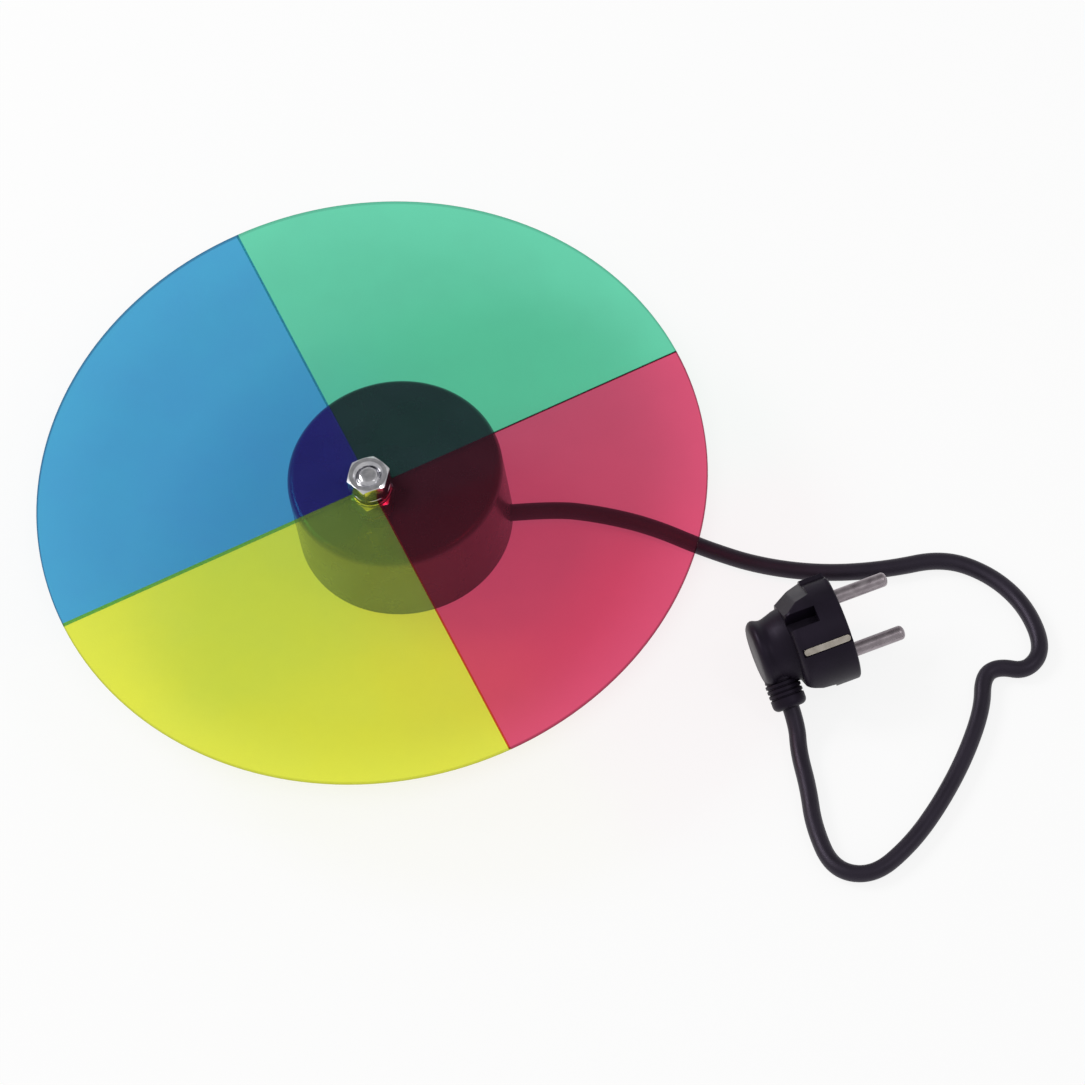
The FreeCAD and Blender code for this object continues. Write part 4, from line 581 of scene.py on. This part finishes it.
STRIP_LONG, STRIP_HALF, STRIP_THICK, STRIP_PLACE = 16.0, 1.2, 0.8, 17.65
STRIP_BEHIND, STRIP_POWER, STRIP_BEARINGS = 0.6, 5, np.radians([135, 315])
RIB_PITCH, RIB_DEPTH, RIBS_BEHIND = 0.8, 0.12, 11
share = np.linspace(0, 1, 41)
strip_end = (1 - np.abs(2 * share - 1) ** 24) ** 0.5
strip_along = -STRIP_LONG * (1 - share) - STRIP_BEHIND
strip_half = STRIP_HALF * np.maximum(strip_end, 0.25)
ribbed = (np.cos(strip_along * TAU / RIB_PITCH) > 0) & (strip_along < -RIBS_BEHIND)
strip_thick = STRIP_THICK / 2 * (1 - RIB_DEPTH * ribbed)
strip_grids = [
    rod(strip_along, strip_half, strip_thick, STRIP_POWER, turn, STRIP_PLACE) for turn in STRIP_BEARINGS
]
strips = plug_metal("side_strip", "earth_strips", strip_grids, strip_nickel)
print(len(pins), "pins and", len(strips), "strips")

# %% [markdown]
# ## The plug's body
#
# The moulded body is round in front and narrows to a neck, and all that is cut into its round front
# can be told as a shorter reach from its axis: a flat is a straight line, whose reach is its distance
# over the cosine of the bearing, and a slot or a groove is a short piece of such a line. So the body is
# one surface, the least of all those reaches at each depth and bearing.

# %% Make the plug's body
CROWN, CROWN_LONG = 18.25, 18.5
FACE_EDGE, SHOULDER = 0.8, 2.4
COLLAR = 8.4
FLAT_BEARINGS, UPPER_BEARING = np.radians([45, 225]), np.radians(8)
SLOT_BEARINGS, CHANNEL_BEARINGS = np.radians([99, 279]), np.radians([135, 315])
FRONT_FLOOR, FRONT_HALF = 16.4, 4.2
SLOT_FLOOR, SLOT_HALF, SLOT_FROM = 12.0, 2.8, 8.22
CHANNEL_FLOOR, CHANNEL_HALF, CHANNEL_LONG = 17.25, 1.35, 17.0
around = np.linspace(0, TAU, 720, endpoint=False)


def quarter(radius, steps):
    """Depths from 0 to the radius, closer together where a quarter circle starts steeply."""
    return radius * (1 - np.cos(np.linspace(0, 1, steps) * np.pi / 2))


def cut(reach, depth, bearing_of_cut, floor, half=CROWN, start=0.0, stop=CROWN_LONG):
    """The reach after a straight cut at that bearing, from start to stop and half to each side."""
    off = (around - bearing_of_cut + np.pi) % TAU - np.pi
    inside = (np.abs(np.sin(off)) * CROWN < half) & (np.cos(off) > 0.2)
    inside = inside[None] & (depth >= start)[:, None] & (depth <= stop)[:, None]
    line = np.reshape(floor, (-1, 1)) / np.maximum(np.cos(off), 0.2)[None]
    return np.where(inside, np.minimum(reach, line), reach)


crown_depth = np.unique(np.concatenate([
    quarter(FACE_EDGE, 7), np.linspace(FACE_EDGE, 8.2, 9), [8.25, COLLAR, COLLAR + 0.08],
    np.linspace(COLLAR + 0.3, CROWN_LONG - SHOULDER, 22), CROWN_LONG - quarter(SHOULDER, 12),
]))
face_round = FACE_EDGE - np.sqrt(FACE_EDGE ** 2 - np.clip(FACE_EDGE - crown_depth, 0, None) ** 2)
back_run = np.clip(crown_depth - (CROWN_LONG - SHOULDER), 0, SHOULDER)
back_round = SHOULDER - np.sqrt(SHOULDER ** 2 - back_run ** 2)
reach = np.repeat((CROWN - face_round - back_round)[:, None], len(around), axis=1)
flat_floor = np.interp(crown_depth, (COLLAR, 13.4, CROWN_LONG), (16.1, 15.3, 12.6))
behind_collar = COLLAR + 0.05
for turn in FLAT_BEARINGS:
    reach = cut(reach, crown_depth, turn, FRONT_FLOOR, half=FRONT_HALF, stop=COLLAR)
    reach = cut(reach, crown_depth, turn, flat_floor, start=behind_collar)
upper_floor = np.interp(crown_depth, (COLLAR, 12.5, CROWN_LONG), (17.6, 16.2, 13.3))
reach = cut(reach, crown_depth, UPPER_BEARING, upper_floor, start=behind_collar)
for turn in SLOT_BEARINGS:
    reach = cut(reach, crown_depth, turn, SLOT_FLOOR, half=SLOT_HALF, start=SLOT_FROM)
for turn in CHANNEL_BEARINGS:
    reach = cut(reach, crown_depth, turn, CHANNEL_FLOOR, half=CHANNEL_HALF, stop=CHANNEL_LONG)

neck = np.array([
    (18.5, 12.4), (20.5, 12.05), (22.5, 11.4), (24.3, 10.85), (25.4, 10.75), (26.4, 11.0), (27.3, 11.4),
    (28.1, 11.5), (28.9, 11.2), (29.6, 10.5), (30.0, 9.8), (30.2, 9.0),
])
depth = np.concatenate([crown_depth, neck[:, 0]])[::-1]
reach = np.vstack([reach, np.repeat(neck[:, 1:], len(around), axis=1)])[::-1]
outwards = np.cos(around)[:, None] * SIDEWAYS + np.sin(around)[:, None] * UPWARDS
plug_grid = PLUG_FACE - depth[:, None, None] * FORWARDS + reach[:, :, None] * outwards[None]
crown = outer_part("angled_plug", plug_grid * MM)
print("plug body of", len(crown.data.polygons), "faces")

# %% [markdown]
# ## The lead's outlet
#
# The lead leaves the plug sideways through a short sloping boss, which widens towards the crown where
# it joins the neck. It is a profile turned round its own axis: four soft grooves that let it bend, a
# plain end with a rounded edge, and then back inwards to the lead. The widening is added to the profile
# by the share in which a bearing looks forwards.

# %% Make the outlet
OUTLET_DEPTH, OUTLET_SLOPE = 25.0, np.radians(30)
GROOVE_PITCH, GROOVE_FIRST, GROOVES_FROM, GROOVES_TO, GROOVE_DEEP = 1.7, 10.4, 9.4, 16.4, 0.5
END_FROM, END_LONG, END_FLAT, END_ROUND = 17.8, 2.0, 3.7, 2.05
outlet_way = -np.cos(OUTLET_SLOPE) * SIDEWAYS - np.sin(OUTLET_SLOPE) * UPWARDS
outlet_side = np.cross(outlet_way, FORWARDS)
outlet_root = PLUG_FACE - OUTLET_DEPTH * FORWARDS
flare = np.linspace(6, 17.6, 110)
boss_radius = 5.2 + 0.55 * np.clip((flare - 8.5) / 2.5, 0, 1)
flare_radius = 4.2 * np.clip((12.0 - flare) / 5, 0, 1) ** 2
grooved = (flare > GROOVES_FROM) & (flare < GROOVES_TO)
wave = np.cos(TAU * (flare - GROOVE_FIRST) / GROOVE_PITCH)
grooves = GROOVE_DEEP * np.clip(1.8 * wave - 0.6, 0, 1) * grooved
end_turn = np.linspace(0, 1, 9) * np.pi / 2
end_rows = np.column_stack([END_FROM + END_LONG * np.sin(end_turn), END_FLAT + END_ROUND * np.cos(end_turn)])
inner_rows = np.array([(19.7, 3.1), (19.0, 2.95), (15.5, 2.9)])
profile = np.vstack([np.column_stack([flare, boss_radius - grooves]), end_rows, inner_rows])
round_turn = np.linspace(0, TAU, 160, endpoint=False)
spokes = np.cos(round_turn)[:, None] * FORWARDS + np.sin(round_turn)[:, None] * outlet_side
front_share = np.clip(0.6 * np.cos(round_turn) + 0.4, 0, 1) ** 2
widening = np.zeros((len(profile), len(round_turn)))
widening[:len(flare)] = flare_radius[:, None] * front_share
radius = profile[:, 1:] + widening
outlet_grid = outlet_root + profile[:, :1, None] * outlet_way + radius[:, :, None] * spokes[None]
outlet = outer_part("lead_outlet", outlet_grid * MM)
print("outlet of", len(outlet.data.polygons), "faces")

# %% [markdown]
# ## The mains lead
#
# The lead is a round black sheath, 5.7 mm thick and seen from end to end. It leaves the can low on its
# right side, lies on the floor in a slow wave, folds back on itself at the far right and comes up into
# the plug's outlet. A smooth spline with listed control points gives the line, and a round bevel
# gives the sheath, so it never gets thinner in a bend.

# %% Lay the lead
SHEATH = 2.85
lead_points = np.array([
    (33.84, 3.53, 5.0), (56.36, -0.03, 5.0), (72.5, -5.6, 3.0), (88.0, -14.8, SHEATH),
    (102.5, -27.4, SHEATH), (119.0, -39.2, SHEATH), (139.0, -47.8, SHEATH), (159.5, -51.8, SHEATH),
    (178.5, -52.4, SHEATH), (192.0, -62.6, SHEATH), (200.6, -77.4, SHEATH), (202.6, -94.8, SHEATH),
    (195.2, -101.9, SHEATH), (186.4, -97.4, SHEATH), (180.7, -99.9, SHEATH), (177.8, -111.5, SHEATH),
    (168.4, -127.4, SHEATH), (156.4, -142.4, SHEATH), (143.6, -154.6, SHEATH), (129.2, -162.8, SHEATH),
    (117.0, -157.0, SHEATH), (114.6, -139.8, SHEATH), (116.1, -125.0, SHEATH), (116.0, -111.5, SHEATH),
    (117.757, -102.119, 5.75), (116.527, -93.372, 10.85),
]) * MM

curve = bpy.data.curves.new("lead", "CURVE")
curve.dimensions = "3D"
spline = curve.splines.new("NURBS")
spline.points.add(len(lead_points) - 1)
spline.points.foreach_set("co", np.column_stack([lead_points, np.ones(len(lead_points))]).ravel())
spline.order_u = 3
spline.use_endpoint_u = True
spline.resolution_u = 12
curve.bevel_depth = SHEATH * MM
curve.bevel_resolution = 8
curve.use_fill_caps = True
lead = bpy.data.objects.new("lead", curve)
bpy.context.scene.collection.objects.link(lead)
curve.materials.append(sheath_black)
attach(lead, "housing")
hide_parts("mains_cord")
print("lead of", len(lead_points), "points")

# %% [markdown]
# ## The remaining solids
#
# Their shapes are right as packed, so they only get their finishes.

# %% Give the solids their finishes
finish_of = {
    "motor_housing": can_black, "base_cover": can_black, "cord_clamp": can_black,
    "mounting_inserts": turned_brass, "output_bush": turned_brass, "coil_tags": turned_brass,
    "clamp_screws": screw_steel, "base_screws": screw_steel, "motor_screws": screw_steel,
    "rotor_pin": screw_steel, "idler_pin": screw_steel, "retaining_ring": screw_steel,
    "stator_cup": sheet_steel, "pole_plate": sheet_steel, "gear_plate": sheet_steel,
    "gearbox_cover": sheet_steel, "coil_bobbin": gear_white, "coil_winding": copper_wire,
    "rotor_magnet": ferrite, "rotor_hub": gear_white, "output_gear": gear_white,
    "idler_gear_1": gear_white, "idler_gear_2": gear_white, "idler_gear_3": gear_white,
    "live_core": core_sheath, "neutral_core": core_sheath,
}
for node_name, finish in finish_of.items():
    solids[node_name].data.materials.clear()
    solids[node_name].data.materials.append(finish)
print(len(finish_of), "solids dressed")
